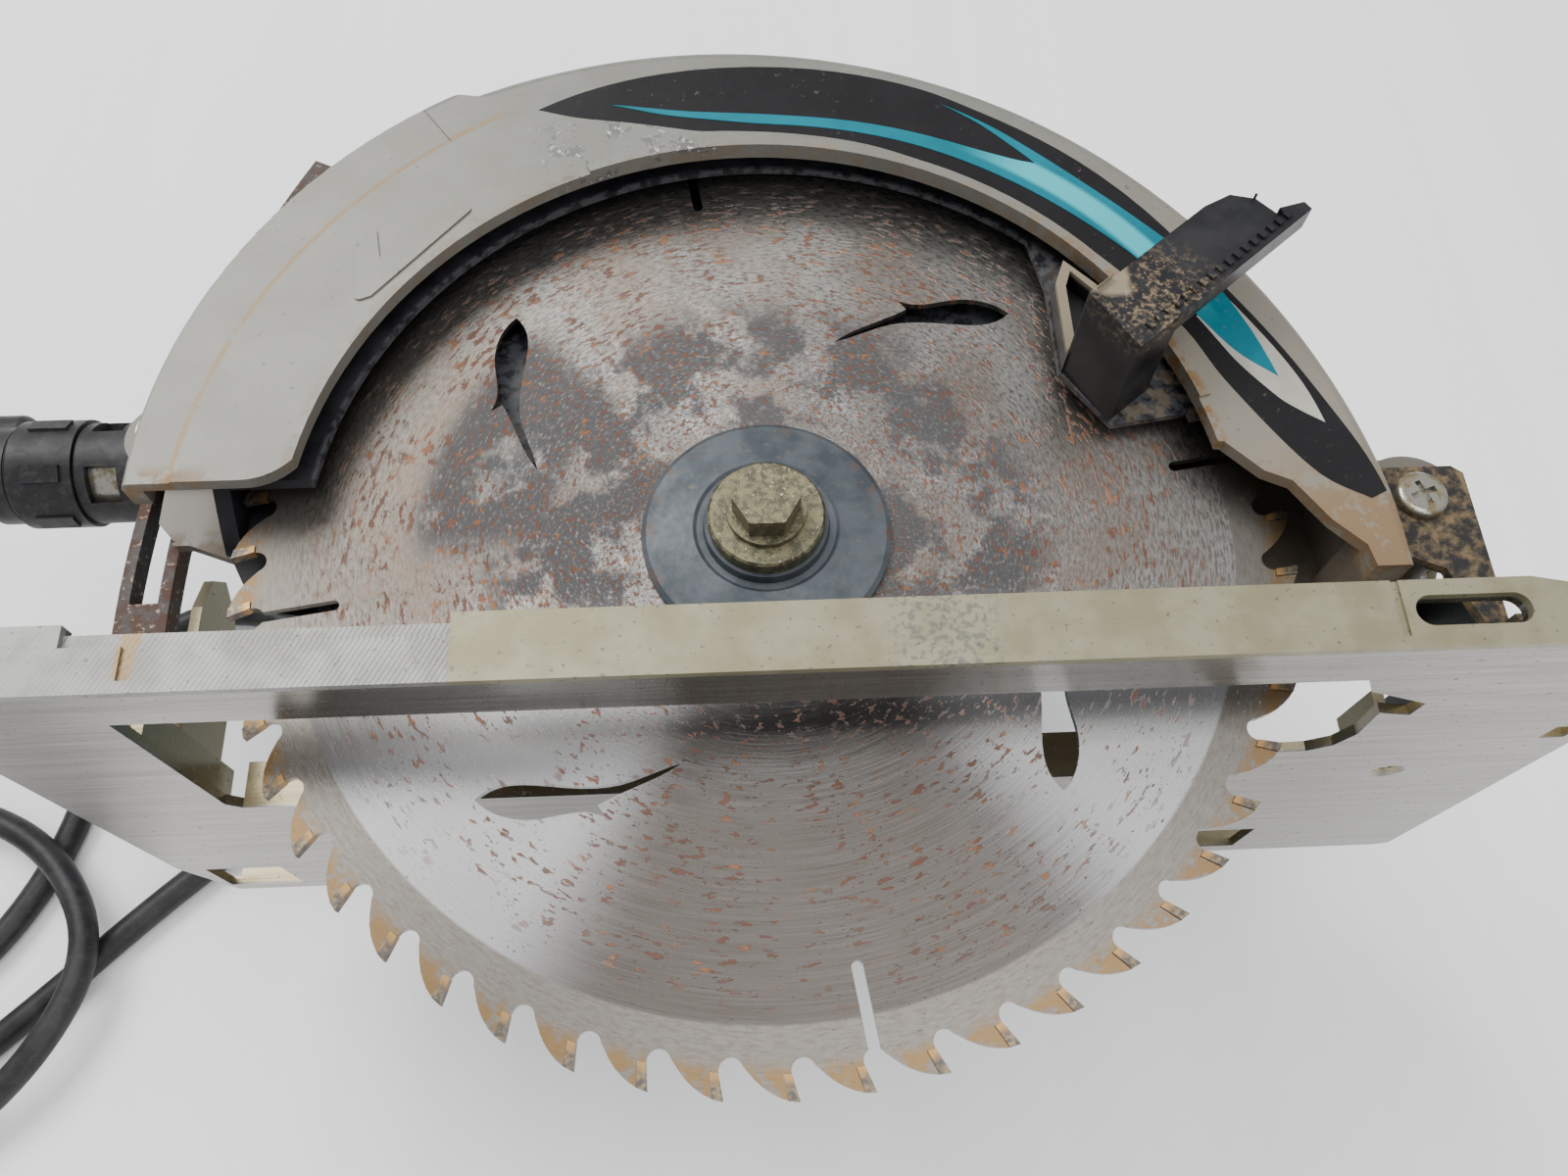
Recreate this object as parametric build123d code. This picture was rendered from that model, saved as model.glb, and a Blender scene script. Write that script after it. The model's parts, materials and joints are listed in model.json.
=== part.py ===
"""Corded circular saw with a 235 mm blade, lying on its motor end.

Frame while modelling: origin at the centre of the blade, +X to the front of the saw, +Y from the sole
to the handles, +Z along the spindle, away from the motor. Everything is moved at the end so that the
origin is at the middle of the underside of the saw (without its cord). Millimetres throughout.
"""

from build123d import *
import math
import os

os.makedirs("parts", exist_ok=True)

# ---- driving dimensions ------------------------------------------------------------------------
BLADE_RADIUS = 117.5
TEETH = 52
FIRST_TIP = 174.08  # angle of one tooth tip, degrees from +X
PLATE = 1.6  # thickness of the blade's steel
KERF = 2.4  # width of the carbide tips
BORE_RADIUS = 15.0  # blade bore
FLOOR_Z = -185.0  # the surface that the motor end stands on

SOLE_Y = -43.5  # underside of the base: sets the depth of cut to 74 mm
SOLE = 2.5
BASE_FRONT = 190.0
BASE_REAR = -168.0
BASE_NEAR = 28.5
BASE_FAR = -136.0
FLANGE_TOP = -29.2
SLOT_NEAR = 11.4
SLOT_FAR = -49.5

CASE_NEAR = 16.0  # outer face of the upper guard
CASE_FAR = -16.0
CASE_WALL = 3.5
RIM_INNER = 101.0  # inner edge of the upper guard's visible face
RIM_CENTRE = (-1.4, -2.0)

GUARD_NEAR = 7.4  # outer face of the lower guard on the blade's open side
GUARD_FAR = -8.0
GUARD_OUT = 122.4
GUARD_PIVOT = 23.4  # radius of the boss that the lower guard turns on
GUARD_IN = 100.0
GUARD_SHEET = 1.6
GUARD_START = 13.0  # the lower guard's two ends, open as stored
GUARD_END = 178.5

GEAR_TEETH = 50
PINION_TEETH = 10
MODULE = 1.15
CENTRES = MODULE * (GEAR_TEETH + PINION_TEETH) / 2
MOTOR_X = -6.0
MOTOR_Y = math.sqrt(CENTRES**2 - MOTOR_X**2)

DEPTH_PIVOT = (144.5, 0.5)  # axis of the screw that the base swings on to set the depth
BAR_RADIUS = 289.0  # distance from that axis to the middle of the depth guide
BAR_HALF = 6.0  # half the width of the depth guide, and of its slot
BAR_SLOT_HALF = 3.3
CLAMP_BOLT = 3.0  # radius of both clamps' bolts
BEVEL_Y = -36.0  # axis of the bevel hinge, along X
BEVEL_Z = 11.6

HANDLE_Z = -80.0  # plane where the two handle shells meet
HANDLE_HALF = 16.0
LOCK_OFF = (-108.0, 146.0)  # the lock-off button, along Z
TRIGGER_PIVOT = (-54.0, 145.0)
LOCK_Z = -40.0  # height of the spindle lock button, along X
CORD_Y = 70.0
BRUSH_Z = -143.0
CORD_RADIUS = 4.5
RUNNING = 0.05  # radial clearance of a shaft or pivot

pieces = {}


# ---- small helpers -----------------------------------------------------------------------------
def polar(radius, degrees, x=0.0, y=0.0):
    a = math.radians(degrees)
    return (x + radius * math.cos(a), y + radius * math.sin(a))


def disc(radius, low, high, x=0.0, y=0.0):
    return Pos(x, y, low) * extrude(Circle(radius), high - low)


def ring(outer, inner, low, high, x=0.0, y=0.0):
    return disc(outer, low, high, x, y) - disc(inner, low - 1, high + 1, x, y)


def block(x, y, z):
    """A box between two values along each axis."""
    size = (x[1] - x[0], y[1] - y[0], z[1] - z[0])
    return Pos(sum(x) / 2, sum(y) / 2, sum(z) / 2) * Box(*size)


def flat(points, low, high):
    """A straight-sided outline in the XY plane, from one height to another."""
    return Pos(0, 0, low) * extrude(make_face(Polyline(*points, close=True)), high - low)


def rounded(points, radius):
    """A face with a straight-sided outline whose corners are rounded."""
    return make_face(FilletPolyline(*points, radius=radius, close=True))


def rod_x(radius, x, y, z):
    """A round rod along X, from x[0] to x[1]."""
    turned = Pos(x[0], y, z) * Rot(0, 90, 0)
    return turned * extrude(Circle(radius), x[1] - x[0])


def sector(radius, start, end):
    """A pie slice of a disc, as a face."""
    middle = polar(radius, (start + end) / 2)
    arc = ThreePointArc(polar(radius, start), middle, polar(radius, end))
    return make_face([Line((0, 0), polar(radius, start)), arc, Line(polar(radius, end), (0, 0))])


def arc_strip(outer, inner, start, end):
    return sector(outer, start, end) - Circle(inner)


def hexagon(across_flats, low, high):
    return Pos(0, 0, low) * extrude(RegularPolygon(across_flats / math.sqrt(3), 6), high - low)


def revolved(profile):
    """A solid of revolution about Z from (radius, height) corners."""
    outline = Polyline(*[(r, 0, z) for r, z in profile], close=True)
    return revolve(make_face(outline), Axis.Z)


def keep(name, shape):
    pieces[name] = shape


# ---- blade and what turns with it --------------------------------------------------------------
def blade_outline():
    edges = []
    pitch = 360 / TEETH
    for k in range(TEETH):
        tip = FIRST_TIP + k * pitch
        seat_back = polar(112.6, tip - 1.55)
        face_foot = polar(112.6, tip - 0.68)
        gullet_end = polar(111.2, tip + 1.6)
        back_foot = polar(113.5, tip + 2.75)
        seat_top = polar(117.2, tip + pitch - 1.05)
        edges.append(Line(seat_back, face_foot))
        edges.append(ThreePointArc(face_foot, polar(109.8, tip + 0.33), gullet_end))
        edges.append(Line(gullet_end, back_foot))
        edges.append(ThreePointArc(back_foot, polar(115.7, tip + 4.2), seat_top))
        edges.append(Line(seat_top, polar(112.6, tip + pitch - 1.55)))
    return make_face(edges)


def leaf_cutout():
    """One curved leaf-shaped vent, its head at 43.7 degrees."""
    head = 43.7

    def at(radius, offset):
        return polar(radius, head + offset)

    inner = [at(84.4, 0), at(78.5, 1.2), at(73.9, 4.8), at(69.6, 10.3), at(64, 17), at(59, 21.5)]
    inner.append(at(54.6, 26.8))
    tail = [at(54.6, 26.8), at(58.9, 23.6), at(66, 17.9), at(70.4, 15.4)]
    crown = [at(71.8, 17.6), at(73.6, 13.3), at(79.5, 8.6), at(82.8, 5), at(84.4, 0)]
    return make_face([Spline(*inner), Spline(*tail), Line(tail[-1], crown[0]), Spline(*crown)])


def make_blade():
    face = blade_outline() - Circle(BORE_RADIUS + RUNNING)
    leaf = leaf_cutout()
    for quarter in range(4):
        slot_angle = 8.5 + 90 * quarter
        slot = Rot(0, 0, slot_angle) * (Pos(105, 0) * Rectangle(20, 2.4) + Pos(95, 0) * Circle(1.2))
        face = face - slot - Rot(0, 0, 90 * quarter) * leaf
    keep("saw_blade", Pos(0, 0, -PLATE / 2) * extrude(face, PLATE))

    tips = []
    for k in range(TEETH):
        tip = FIRST_TIP + k * 360 / TEETH
        corners = [(BLADE_RADIUS, 0), (112.65, -0.68), (112.65, -1.5), (117.2, -1.03)]
        outline = [polar(radius, tip + offset) for radius, offset in corners]
        tips.append(flat(outline, -KERF / 2, KERF / 2))
    keep("carbide_tips", Compound(children=tips))


def make_spindle():
    outer = [(4.2, 0.8), (27.7, 0.8), (27.7, 2.2), (26.6, 2.9), (16.2, 5.0)]
    outer += [(15.4, 4.5), (14, 4.5), (13.6, 6.8), (4.2, 6.8)]
    keep("outer_flange", revolved(outer))
    inner = [(9.02, 0.5), (14.95, 0.5), (14.95, -0.8), (27.7, -0.8), (27.7, -3.6)]
    inner += [(25, -5), (14, -5.2), (13, -8), (9.02, -8)]
    keep("inner_flange", revolved(inner))
    washer = ring(12.8, 4.2, 6.8, 10.6)
    outer_edge = washer.edges().group_by(Axis.Z)[-1].sort_by(SortBy.RADIUS)[-1]
    keep("arbor_washer", chamfer(outer_edge, 0.5))
    head = hexagon(13, 12.2, 18) & disc(7.35, 12, 18.1)
    bolt = disc(4, -20, 10.6) + disc(8.6, 10.6, 12.2) + head
    keep("arbor_bolt", bolt)

    spindle = disc(9, -12.9, 0.4) + disc(10, -50, -12.9) + disc(7, -62, -50)
    keep("spindle", spindle - disc(4.03, -21, 1))
    web = ring(25, 13, -48, -43) + ring(25, 13, -38, -33)
    keep("driven_gear", gear(GEAR_TEETH, -46, -35) - disc(10.02, -60, 0) - web)


def gear(teeth, low, high, x=0.0, y=0.0, turn=0.0):
    """A spur gear with tapering teeth, the first one at angle turn."""
    pitch_radius = MODULE * teeth / 2
    step = 360 / teeth
    tip, root = pitch_radius + 0.92 * MODULE, pitch_radius - 1.22 * MODULE
    half_tip = 0.42 * MODULE
    half_root = 0.86 * MODULE
    points = []
    for k in range(teeth):
        middle = turn + k * step
        for radius, half in ((root, -half_root), (tip, -half_tip), (tip, half_tip), (root, half_root)):
            points.append(polar(radius, middle + math.degrees(half / radius), x, y))
    return flat(points, low, high)


# ---- armature ----------------------------------------------------------------------------------
def make_armature():
    x, y = MOTOR_X, MOTOR_Y
    towards_motor = math.degrees(math.atan2(y, x))
    # A pinion tooth points into a gap of the driven gear, whose first tooth is at angle 0.
    gap_offset = towards_motor - 360 / GEAR_TEETH * (math.floor(towards_motor * GEAR_TEETH / 360) + 0.5)
    pinion_turn = towards_motor + 180 + gap_offset * GEAR_TEETH / PINION_TEETH
    shaft = disc(5, -166, -48, x, y) + disc(4, -176, -166, x, y)
    keep("armature_shaft", shaft + gear(PINION_TEETH, -48, -34, x, y, pinion_turn))

    core = ring(24.5, 5.02, -128, -84, x, y)
    groove = Rectangle(3, 2.2)
    for k in range(12):
        place = Pos(x, y, -129) * Rot(0, 0, 30 * k) * Pos(24, 0, 0)
        core = core - place * extrude(groove, 46)
    keep("armature_core", core)
    ends = ring(22, 5.02, -84, -79, x, y) + ring(22, 5.02, -133, -128, x, y)
    keep("armature_windings", ends)

    commutator = ring(14, 5.02, -156, -138, x, y)
    for k in range(24):
        place = Pos(x, y, -157) * Rot(0, 0, 15 * k) * Pos(14, 0, 0)
        commutator = commutator - place * extrude(Rectangle(1.2, 0.7), 20)
    keep("commutator", commutator)

    fan = ring(39, 8, -76.5, -74.5, x, y) + ring(11, 5.02, -76.5, -65, x, y)
    for k in range(14):
        place = Pos(x, y, -74.5) * Rot(0, 0, 360 / 14 * k) * Pos(28, 0, 0) * Rot(0, 0, 25)
        fan = fan + place * extrude(Rectangle(20, 1.4), 8)
    keep("cooling_fan", fan)


def bearing(outer, inner, low, high, x=0.0, y=0.0):
    groove = ring(outer - 2.4, inner + 2.2, high - 0.8, high + 1, x, y)
    return ring(outer, inner, low, high, x, y) - groove


def make_motor():
    x, y = MOTOR_X, MOTOR_Y
    keep("spindle_front_bearing", bearing(20.95, 10 + RUNNING, -26, -15))
    keep("bearing_retainer", ring(28, 12, -27.5, -26))
    keep("spindle_rear_bearing", bearing(13, 7 + RUNNING, -60, -51))
    keep("armature_front_bearing", bearing(13, 5 + RUNNING, -61, -52, x, y))
    keep("armature_rear_bearing", bearing(11, 4 + RUNNING, -176, -168, x, y))

    pole = arc_strip(37, 25.6, 43, 137) + arc_strip(37, 25.6, 223, 317)
    stator = Pos(x, y, -128) * extrude(Circle(41.5) - Circle(36.5) + pole, 44)
    keep("field_stator", stator)
    coils = []
    for middle in (90, 270):
        coil = extrude(arc_strip(35.8, 27.5, middle - 66, middle + 66), 54)
        coil = coil - Pos(0, 0, 4.8) * extrude(arc_strip(38, 25, middle - 48.5, middle + 48.5), 44.4)
        coils.append(Pos(x, y, -133) * coil)
    keep("field_coils", Compound(children=coils))

    holders, brushes, caps = [], [], []
    for side in (-1, 1):
        holder = rod_x(6.2, (16, 43.5), 0, 0) - block((15, 45), (-3.3, 3.3), (-4.3, 4.3))
        place = Pos(x, y, BRUSH_Z) * Rot(0, 0, 90 + 90 * side)
        holders.append(place * holder)
        brushes.append(place * block((14.3, 30), (-3.2, 3.2), (-4.2, 4.2)))
        cap = rod_x(6.2, (43.7, 48.5), 0, 0) - block((47.3, 50), (-0.8, 0.8), (-7, 7))
        caps.append(place * cap)
    keep("brush_holders", Compound(children=holders))
    keep("carbon_brushes", Compound(children=brushes))
    keep("brush_caps", Compound(children=caps))


# ---- castings ----------------------------------------------------------------------------------
def case_outline():
    """The upper guard from the side: rear shoulder, egg-shaped rim, front leg."""
    rear_low, rear_top = (-137.5, 9), polar(141.5, 122.6)
    step, crown, nose = polar(138.2, 121), polar(127.8, 44), (134, 3.8)
    rim = [
        ThreePointArc(rear_low, polar(141.2, 150), rear_top),
        Line(rear_top, step),
        ThreePointArc(step, (-3.3, 132.5), crown),
        ThreePointArc(crown, polar(129.3, 22.5), nose),
    ]
    leg = [nose, (134, -20), (126.4, -20), (125.5, -15), (119.4, -8.9), (113, 0.9), (107.3, 3.6)]
    cheek_corner = (-97.5, 24)
    foot = Polyline(*leg, (100, 11.2), cheek_corner)
    rounding = ThreePointArc(cheek_corner, (-102.9, 12.1), (-112, 9))
    return make_face(rim + [foot, rounding, Line((-112, 9), rear_low)])


def make_upper_guard():
    outline = case_outline()
    height = CASE_NEAR - CASE_FAR
    shell = Pos(0, 0, CASE_FAR) * extrude(outline, height)
    near_edges = shell.edges().group_by(Axis.Z)[-1].filter_by(GeomType.CIRCLE)
    near_edges = near_edges.filter_by(lambda edge: edge.radius > 60)
    shell = fillet(near_edges, 3.2)

    inside = offset(outline, -CASE_WALL, kind=Kind.INTERSECTION)
    bay = inside + Pos(-4, -20) * Rectangle(259, 80) + Pos(-60, 0) * Rectangle(147, 60) + Circle(RIM_INNER)
    cavity = Pos(0, 0, CASE_FAR + 3) * extrude(bay, height - 3 - CASE_WALL)
    shell = shell - cavity - Pos(*RIM_CENTRE, 5) * extrude(Circle(RIM_INNER), 20)
    shell = shell - block((-150, -120), (-5, 34), (CASE_FAR + 3, 7))  # room to see the depth guide

    back = [(-134, 9), (-96, -6), (-60, -19), (30, -22), (90, -20), (126.4, -20), (126, 20)]
    back += [(60, 60), (-60, 60), (-142, 30), (-142, 15), (-138, 10.5)]
    far_plate = flat(back, CASE_FAR, CASE_FAR + 3) + disc(37.5, CASE_FAR, CASE_FAR + 3)
    boss = disc(GUARD_PIVOT, CASE_FAR, -5.6) - ring(GUARD_PIVOT + 1, 22.4, -6.4, -5.9)
    lug = disc(12.4, -20, 4.2, *DEPTH_PIVOT)
    leg = block((128, 140), (-12, 12), (CASE_FAR, 4.2))
    clamp_x, clamp_y = clamp_centre()
    rear_lug = disc(9, CASE_FAR, -8, clamp_x, clamp_y)
    rear_lug = rear_lug + block((clamp_x, -130), (clamp_y - 9, clamp_y + 9), (CASE_FAR, -8))
    shell = shell + far_plate + boss + lug + leg + rear_lug
    shell = shell - disc(21, -30, 0) - disc(3.05, -25, 10, *DEPTH_PIVOT)
    shell = shell - disc(CLAMP_BOLT + RUNNING, -20, 0, clamp_x, clamp_y)
    for x, y in case_screw_places():
        shell = shell - disc(2.6, -20, -10, x, y)
    shell = shell - raised_step()
    shell = shell + inner_bead() + rotation_arrow()
    keep("upper_guard", shell)


def raised_step():
    """The outer band of the rear cheek sits a little lower than the cheek."""
    band = arc_strip(150, 126.8, 125.4, 178)
    return Pos(0, 0, CASE_NEAR - 0.5) * extrude(band, 5)


def inner_bead():
    """The raised lip along the inner edge of the rim."""
    bead = arc_strip(RIM_INNER + 2.6, RIM_INNER, 14, 112)
    return Pos(*RIM_CENTRE, CASE_NEAR - 1) * extrude(bead, 1.9)


def rotation_arrow():
    """A raised arrow with one barb on the rear cheek, showing which way the blade turns."""
    shaft_end = [(-66.6, 84.8), (-67.4, 80.8)]
    tip = [(-88.4, 56.4), (-92.2, 55)]
    barb = [(-93.2, 75.6), (-89, 76.4)]
    notch = (-87.2, 66)
    arrow = rounded(shaft_end + tip + barb + [notch], 1.2)
    return Pos(0, 0, CASE_NEAR - 1) * extrude(arrow, 1.5)


def case_screw_places():
    """The screws that hold the upper guard to the gear housing."""
    return [polar(37, angle) for angle in (35, 145, 205, 335)]


def motor_screw_places():
    return [polar(49.5, angle, MOTOR_X, MOTOR_Y) for angle in (15, 165, 215, 325)]


def clamp_centre():
    """Where the depth clamp's bolt crosses the case."""
    height = 36.0
    reach = math.sqrt(BAR_RADIUS**2 - (height - DEPTH_PIVOT[1]) ** 2)
    return DEPTH_PIVOT[0] - reach, height


def make_housings():
    x, y = MOTOR_X, MOTOR_Y
    gearbox = disc(36, -47.6, CASE_FAR) + disc(17, -62, -47)
    gearbox = gearbox + disc(47, -62, -50, x, y) + disc(16, -50, -26, x, y)
    button_boss = rod_x(8, (28, 42), 0, LOCK_Z)
    gearbox = gearbox + button_boss
    for sx, sy in case_screw_places():
        gearbox = gearbox + disc(5, -32, CASE_FAR, sx, sy)
    for sx, sy in motor_screw_places():
        gearbox = gearbox + disc(5.5, -62, -52, sx, sy)
    hollow = disc(32.2, -46.6, -26) + disc(21, -30, 0) + disc(10.5, -52, -30, x, y) + disc(10.5, -51, -46)
    seats = disc(13, -60, -50) + disc(13, -63, -52, x, y) + disc(9, -63, -50)
    holes = rod_x(4 + RUNNING, (20, 50), 0, LOCK_Z)
    for sx, sy in case_screw_places() + motor_screw_places():
        holes = holes + disc(2.1, -70, -10, sx, sy)
    gearbox = gearbox - hollow - seats - holes
    keep("gear_housing", gearbox)

    body = disc(47, -150, -62, x, y) - disc(42, -151, -61, x, y)
    for sx, sy in motor_screw_places():
        ear = disc(5.5, -74, -62, sx, sy) - disc(42, -80, -60, x, y) - disc(2.6, -80, -60, sx, sy)
        body = body - disc(4.3, -90, -74, sx, sy) + ear
    for k in range(24):
        place = Pos(x, y, -79.5) * Rot(0, 0, 15 * k) * Pos(44.5, 0, 0)
        body = body - place * Box(12, 5, 7)
    body = body - rod_x(6.4, (x - 60, x + 60), y, BRUSH_Z)
    keep("motor_housing", body)

    profile = [(0, -185), (40, -185), (46, -179), (46, -150), (43, -150), (43, -177), (40, -180)]
    profile += [(15, -180), (15, -168), (11.05, -168), (11.05, -176.5), (0, -176.5)]
    cover = Pos(x, y, 0) * revolved(profile)
    for k in range(18):
        place = Pos(x, y, -166) * Rot(0, 0, 20 * k + 10) * Pos(44.5, 0, 0)
        cover = cover - place * Box(8, 4.5, 14)
    for sx in (x - 30, x + 30):
        cover = cover - disc(4.2, -186, -182.2, sx, y) - disc(2.1, -190, -170, sx, y)
    keep("motor_end_cover", cover)


# ---- lower guard -------------------------------------------------------------------------------
def make_lower_guard():
    start, end = GUARD_START, GUARD_END
    ear = [(66, 76), (69, 60), (69, 36), (79, 21.5), (96, 24), (104, 30), (78, 70)]
    near = arc_strip(GUARD_OUT, GUARD_IN, start, end) + make_face(Polyline(*ear, close=True))
    near_plate = Pos(0, 0, GUARD_NEAR - GUARD_SHEET) * extrude(near, GUARD_SHEET)
    wall = arc_strip(GUARD_OUT, GUARD_OUT - GUARD_SHEET, start, end)
    wall = wall + arc_strip(GUARD_OUT, GUARD_OUT - 3.8, end - 9, end)
    wall = Pos(0, 0, GUARD_FAR) * extrude(wall, GUARD_NEAR - GUARD_FAR)
    slant = Polyline((0, 2.4, GUARD_FAR), (0, 14.4, 8.4), (0, -20, 8.4), (0, -20, GUARD_FAR), close=True)
    end_cut = Pos(-130, 0, 0) * extrude(make_face(slant), 35, dir=(1, 0, 0))
    lower_edge = [(-121.2, 2.6), (-117.5, -4.4), (-109, -12), (-60, -20), (0, -29), (0, 3)]
    far = arc_strip(GUARD_OUT, 30, start, end) + make_face(Polyline(*lower_edge, close=True))
    far = far + Circle(31) - Circle(GUARD_PIVOT + RUNNING)
    far_plate = Pos(0, 0, GUARD_FAR) * extrude(far, GUARD_SHEET - 0.2)
    hub = ring(27, GUARD_PIVOT + RUNNING, -11, GUARD_FAR)
    keep("lower_guard", (near_plate + wall - end_cut) + far_plate + hub)

    retainer = ring(25.8, 22.42, -6.4, -5.9) - block((20, 30), (-4, 4), (-8, -4))
    keep("guard_retaining_ring", retainer)
    coil = Helix(pitch=1.1, height=1.1, radius=29.2)
    section = Plane(coil @ 0, z_dir=coil % 0) * Circle(0.45)
    keep("guard_return_spring", Pos(0, 0, -12.3) * sweep(section, path=coil))


def make_guard_lever():
    """A block that stands on the lower guard and a finger tongue that reaches over the rim."""
    inner_corner, outer_corner = (69.6, 36.6), (78.4, 22.4)
    along = polar(1, 39)
    across = polar(1, -58.2)
    top = 36.0

    def point(corner, forward, sideways=0.0):
        x = corner[0] + along[0] * forward + across[0] * sideways
        y = corner[1] + along[1] * forward + across[1] * sideways
        return (x, y)

    stem_back = [point(outer_corner, 13), point(inner_corner, 13)]
    stem = flat([inner_corner, outer_corner] + stem_back, GUARD_NEAR, top - 6)
    hollow_front = [point(inner_corner, 3, 3), point(outer_corner, 3, -3)]
    hollow_back = [point(outer_corner, 11, -3), point(inner_corner, 11, 3)]
    stem_hollow = flat(hollow_front + hollow_back, GUARD_NEAR - 1, top - 12)
    wing_outer = [(69.4, 36), (69.4, 56), (72, 62.5), (80, 54), (80, 42)]
    wing_inner = [(71.6, 36), (71.6, 55), (73.2, 59.4), (78, 53.6), (78, 42)]
    wing = flat(wing_outer, GUARD_NEAR, 15) - flat(wing_inner, GUARD_NEAR + 2, 20)
    tip = [point(outer_corner, 56), point(outer_corner, 56, -2.4), point(outer_corner, 50, -5)]
    shoulder = [point(inner_corner, 49, 6), point(inner_corner, 45, 1.5), point(inner_corner, 38)]
    tongue_points = [inner_corner, outer_corner] + tip + shoulder
    tongue = flat(tongue_points, top - 6, top)
    dish = [point(inner_corner, 2, 0.2), point(outer_corner, 2, -3), point(outer_corner, 50, -3.2)]
    dish += [point(inner_corner, 50.5, 8), point(inner_corner, 44, -0.4), point(inner_corner, 36, -1)]
    tongue = tongue - flat(dish, top - 1.6, top + 1)
    lever = stem - stem_hollow + wing + tongue
    for k in range(17):
        x, y = point(outer_corner, 5 + 2.8 * k, -2.4)
        lever = lever + Pos(x, y, top) * Rot(0, 0, 39) * Box(1.4, 1.8, 1.4)
    keep("guard_lever", lever)
    rivets = [disc(2.6, GUARD_NEAR, GUARD_NEAR + 1.4, *polar(108, angle)) for angle in (24, 40)]
    keep("guard_rivets", Compound(children=rivets))


# ---- depth and bevel adjusters -----------------------------------------------------------------
def make_tilt_frame():
    px, py = DEPTH_PIVOT
    ears = [(137, -13), (137, 8.3), (153.6, 8.3), (156, 6.4), (156, -30), (151, -30), (146, -17)]
    near_ear = flat(ears, 4.5, 7.2)
    far_ear = flat([(136, -10), (136, 8.3), (156, 8.3), (156, -19), (148, -16)], -23.5, -20.5)
    web = block((153.2, 156), (-39, -13.4), (-35, 7.2))
    pin_lug = block((153.2, 156), (BEVEL_Y, -31), (5, 14)) + rod_x(4.7, (153.2, 156), BEVEL_Y, BEVEL_Z)
    bracket = near_ear + far_ear + web + pin_lug
    bracket = bracket - disc(3.05, -30, 10, px, py)
    bracket = bracket - rod_x(3.02, (150, 160), BEVEL_Y, BEVEL_Z)
    bracket = bracket - rod_x(3.1, (150, 160), CLAMP_BOLT_Y, CLAMP_BOLT_Z)
    keep("front_pivot_bracket", bracket)

    head = disc(5.7, 7.2, 9.6, px, py)
    head = fillet(head.edges().group_by(Axis.Z)[-1], 1.4)
    cross = Pos(px, py, 9.6) * Rot(0, 0, 18) * (Box(6, 1.3, 2.6) + Box(1.3, 6, 2.6))
    nut = Pos(px, py, -27.9) * extrude(RegularPolygon(6.4, 6), 4.4)
    keep("depth_pivot_screw", disc(2.98, -28.5, 7.2, px, py) + head + nut - cross)

    keep("depth_guide", depth_bar())


CLAMP_BOLT_Y = -24.0  # the bevel clamp's bolt, along X
CLAMP_BOLT_Z = -28.4


def bar_angle(height):
    """Angle, about the depth pivot, of the guide's middle at a height."""
    return 180 - math.degrees(math.asin((height - DEPTH_PIVOT[1]) / BAR_RADIUS))


def bar_strip(half_width, low, high):
    """A strip of the guide's arc between two heights, as a face."""
    start, end = bar_angle(high), bar_angle(low)
    px, py = DEPTH_PIVOT
    outer, inner = BAR_RADIUS + half_width, BAR_RADIUS - half_width
    middle = (start + end) / 2
    a, b, c = (polar(outer, angle, px, py) for angle in (start, middle, end))
    d, e, f = (polar(inner, angle, px, py) for angle in (end, middle, start))
    return make_face([ThreePointArc(a, b, c), Line(c, d), ThreePointArc(d, e, f), Line(f, a)])


def depth_bar():
    bar = Pos(0, 0, -23.5) * extrude(bar_strip(BAR_HALF, -33.4, 128), 6)
    slot = Pos(0, 0, -30) * extrude(bar_strip(BAR_SLOT_HALF, -3.5, 122), 16)
    foot = block((-150, -146.8), (-39.5, -31.2), (-23.5, BEVEL_Z))
    foot = foot + rod_x(4.8, (-150, -146.8), BEVEL_Y, BEVEL_Z)
    foot = foot + block((-150, -138), (-38, -33), (-23.5, -17.5))
    bar = bar - slot + foot
    return bar - rod_x(3.02, (-160, -140), BEVEL_Y, BEVEL_Z)


def make_clamps():
    x, y = clamp_centre()
    bolt = disc(CLAMP_BOLT, -33, -8, x, y) + disc(4.9, -8, -4.5, x, y)
    keep("depth_clamp_bolt", bolt)
    boss = ring(9, CLAMP_BOLT + RUNNING, -33, -24, x, y)
    arm = flat([(x - 6, y - 2), (x + 6, y - 6), (x + 58, y - 14), (x + 58, y - 4), (x + 6, y + 8)], -33, -27)
    keep("depth_clamp_lever", boss + (arm - disc(8, -40, -20, x, y)))

    spacer = rod_x(3, (146, 176), CLAMP_BOLT_Y, CLAMP_BOLT_Z)
    head = Pos(149, CLAMP_BOLT_Y, CLAMP_BOLT_Z) * Rot(0, 90, 0) * extrude(RegularPolygon(6, 6), 4)
    hub = rod_x(8.5, (162, 174), CLAMP_BOLT_Y, CLAMP_BOLT_Z)
    arm = block((165, 171), (CLAMP_BOLT_Y - 4, CLAMP_BOLT_Y + 4), (-70, CLAMP_BOLT_Z))
    keep("bevel_clamp_lever", hub + arm - rod_x(3 + RUNNING, (150, 180), CLAMP_BOLT_Y, CLAMP_BOLT_Z))

    pins = [rod_x(3, (152, 164), BEVEL_Y, BEVEL_Z), rod_x(3, (-158, -146), BEVEL_Y, BEVEL_Z)]
    keep("bevel_bolts", Compound(children=pins + [spacer + head]))


# ---- base --------------------------------------------------------------------------------------
def in_sole(points):
    """A face in the plane of the sole from (x, z) corners."""
    return make_face(Polyline(*[(x, 0, z) for x, z in points], close=True))


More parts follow.
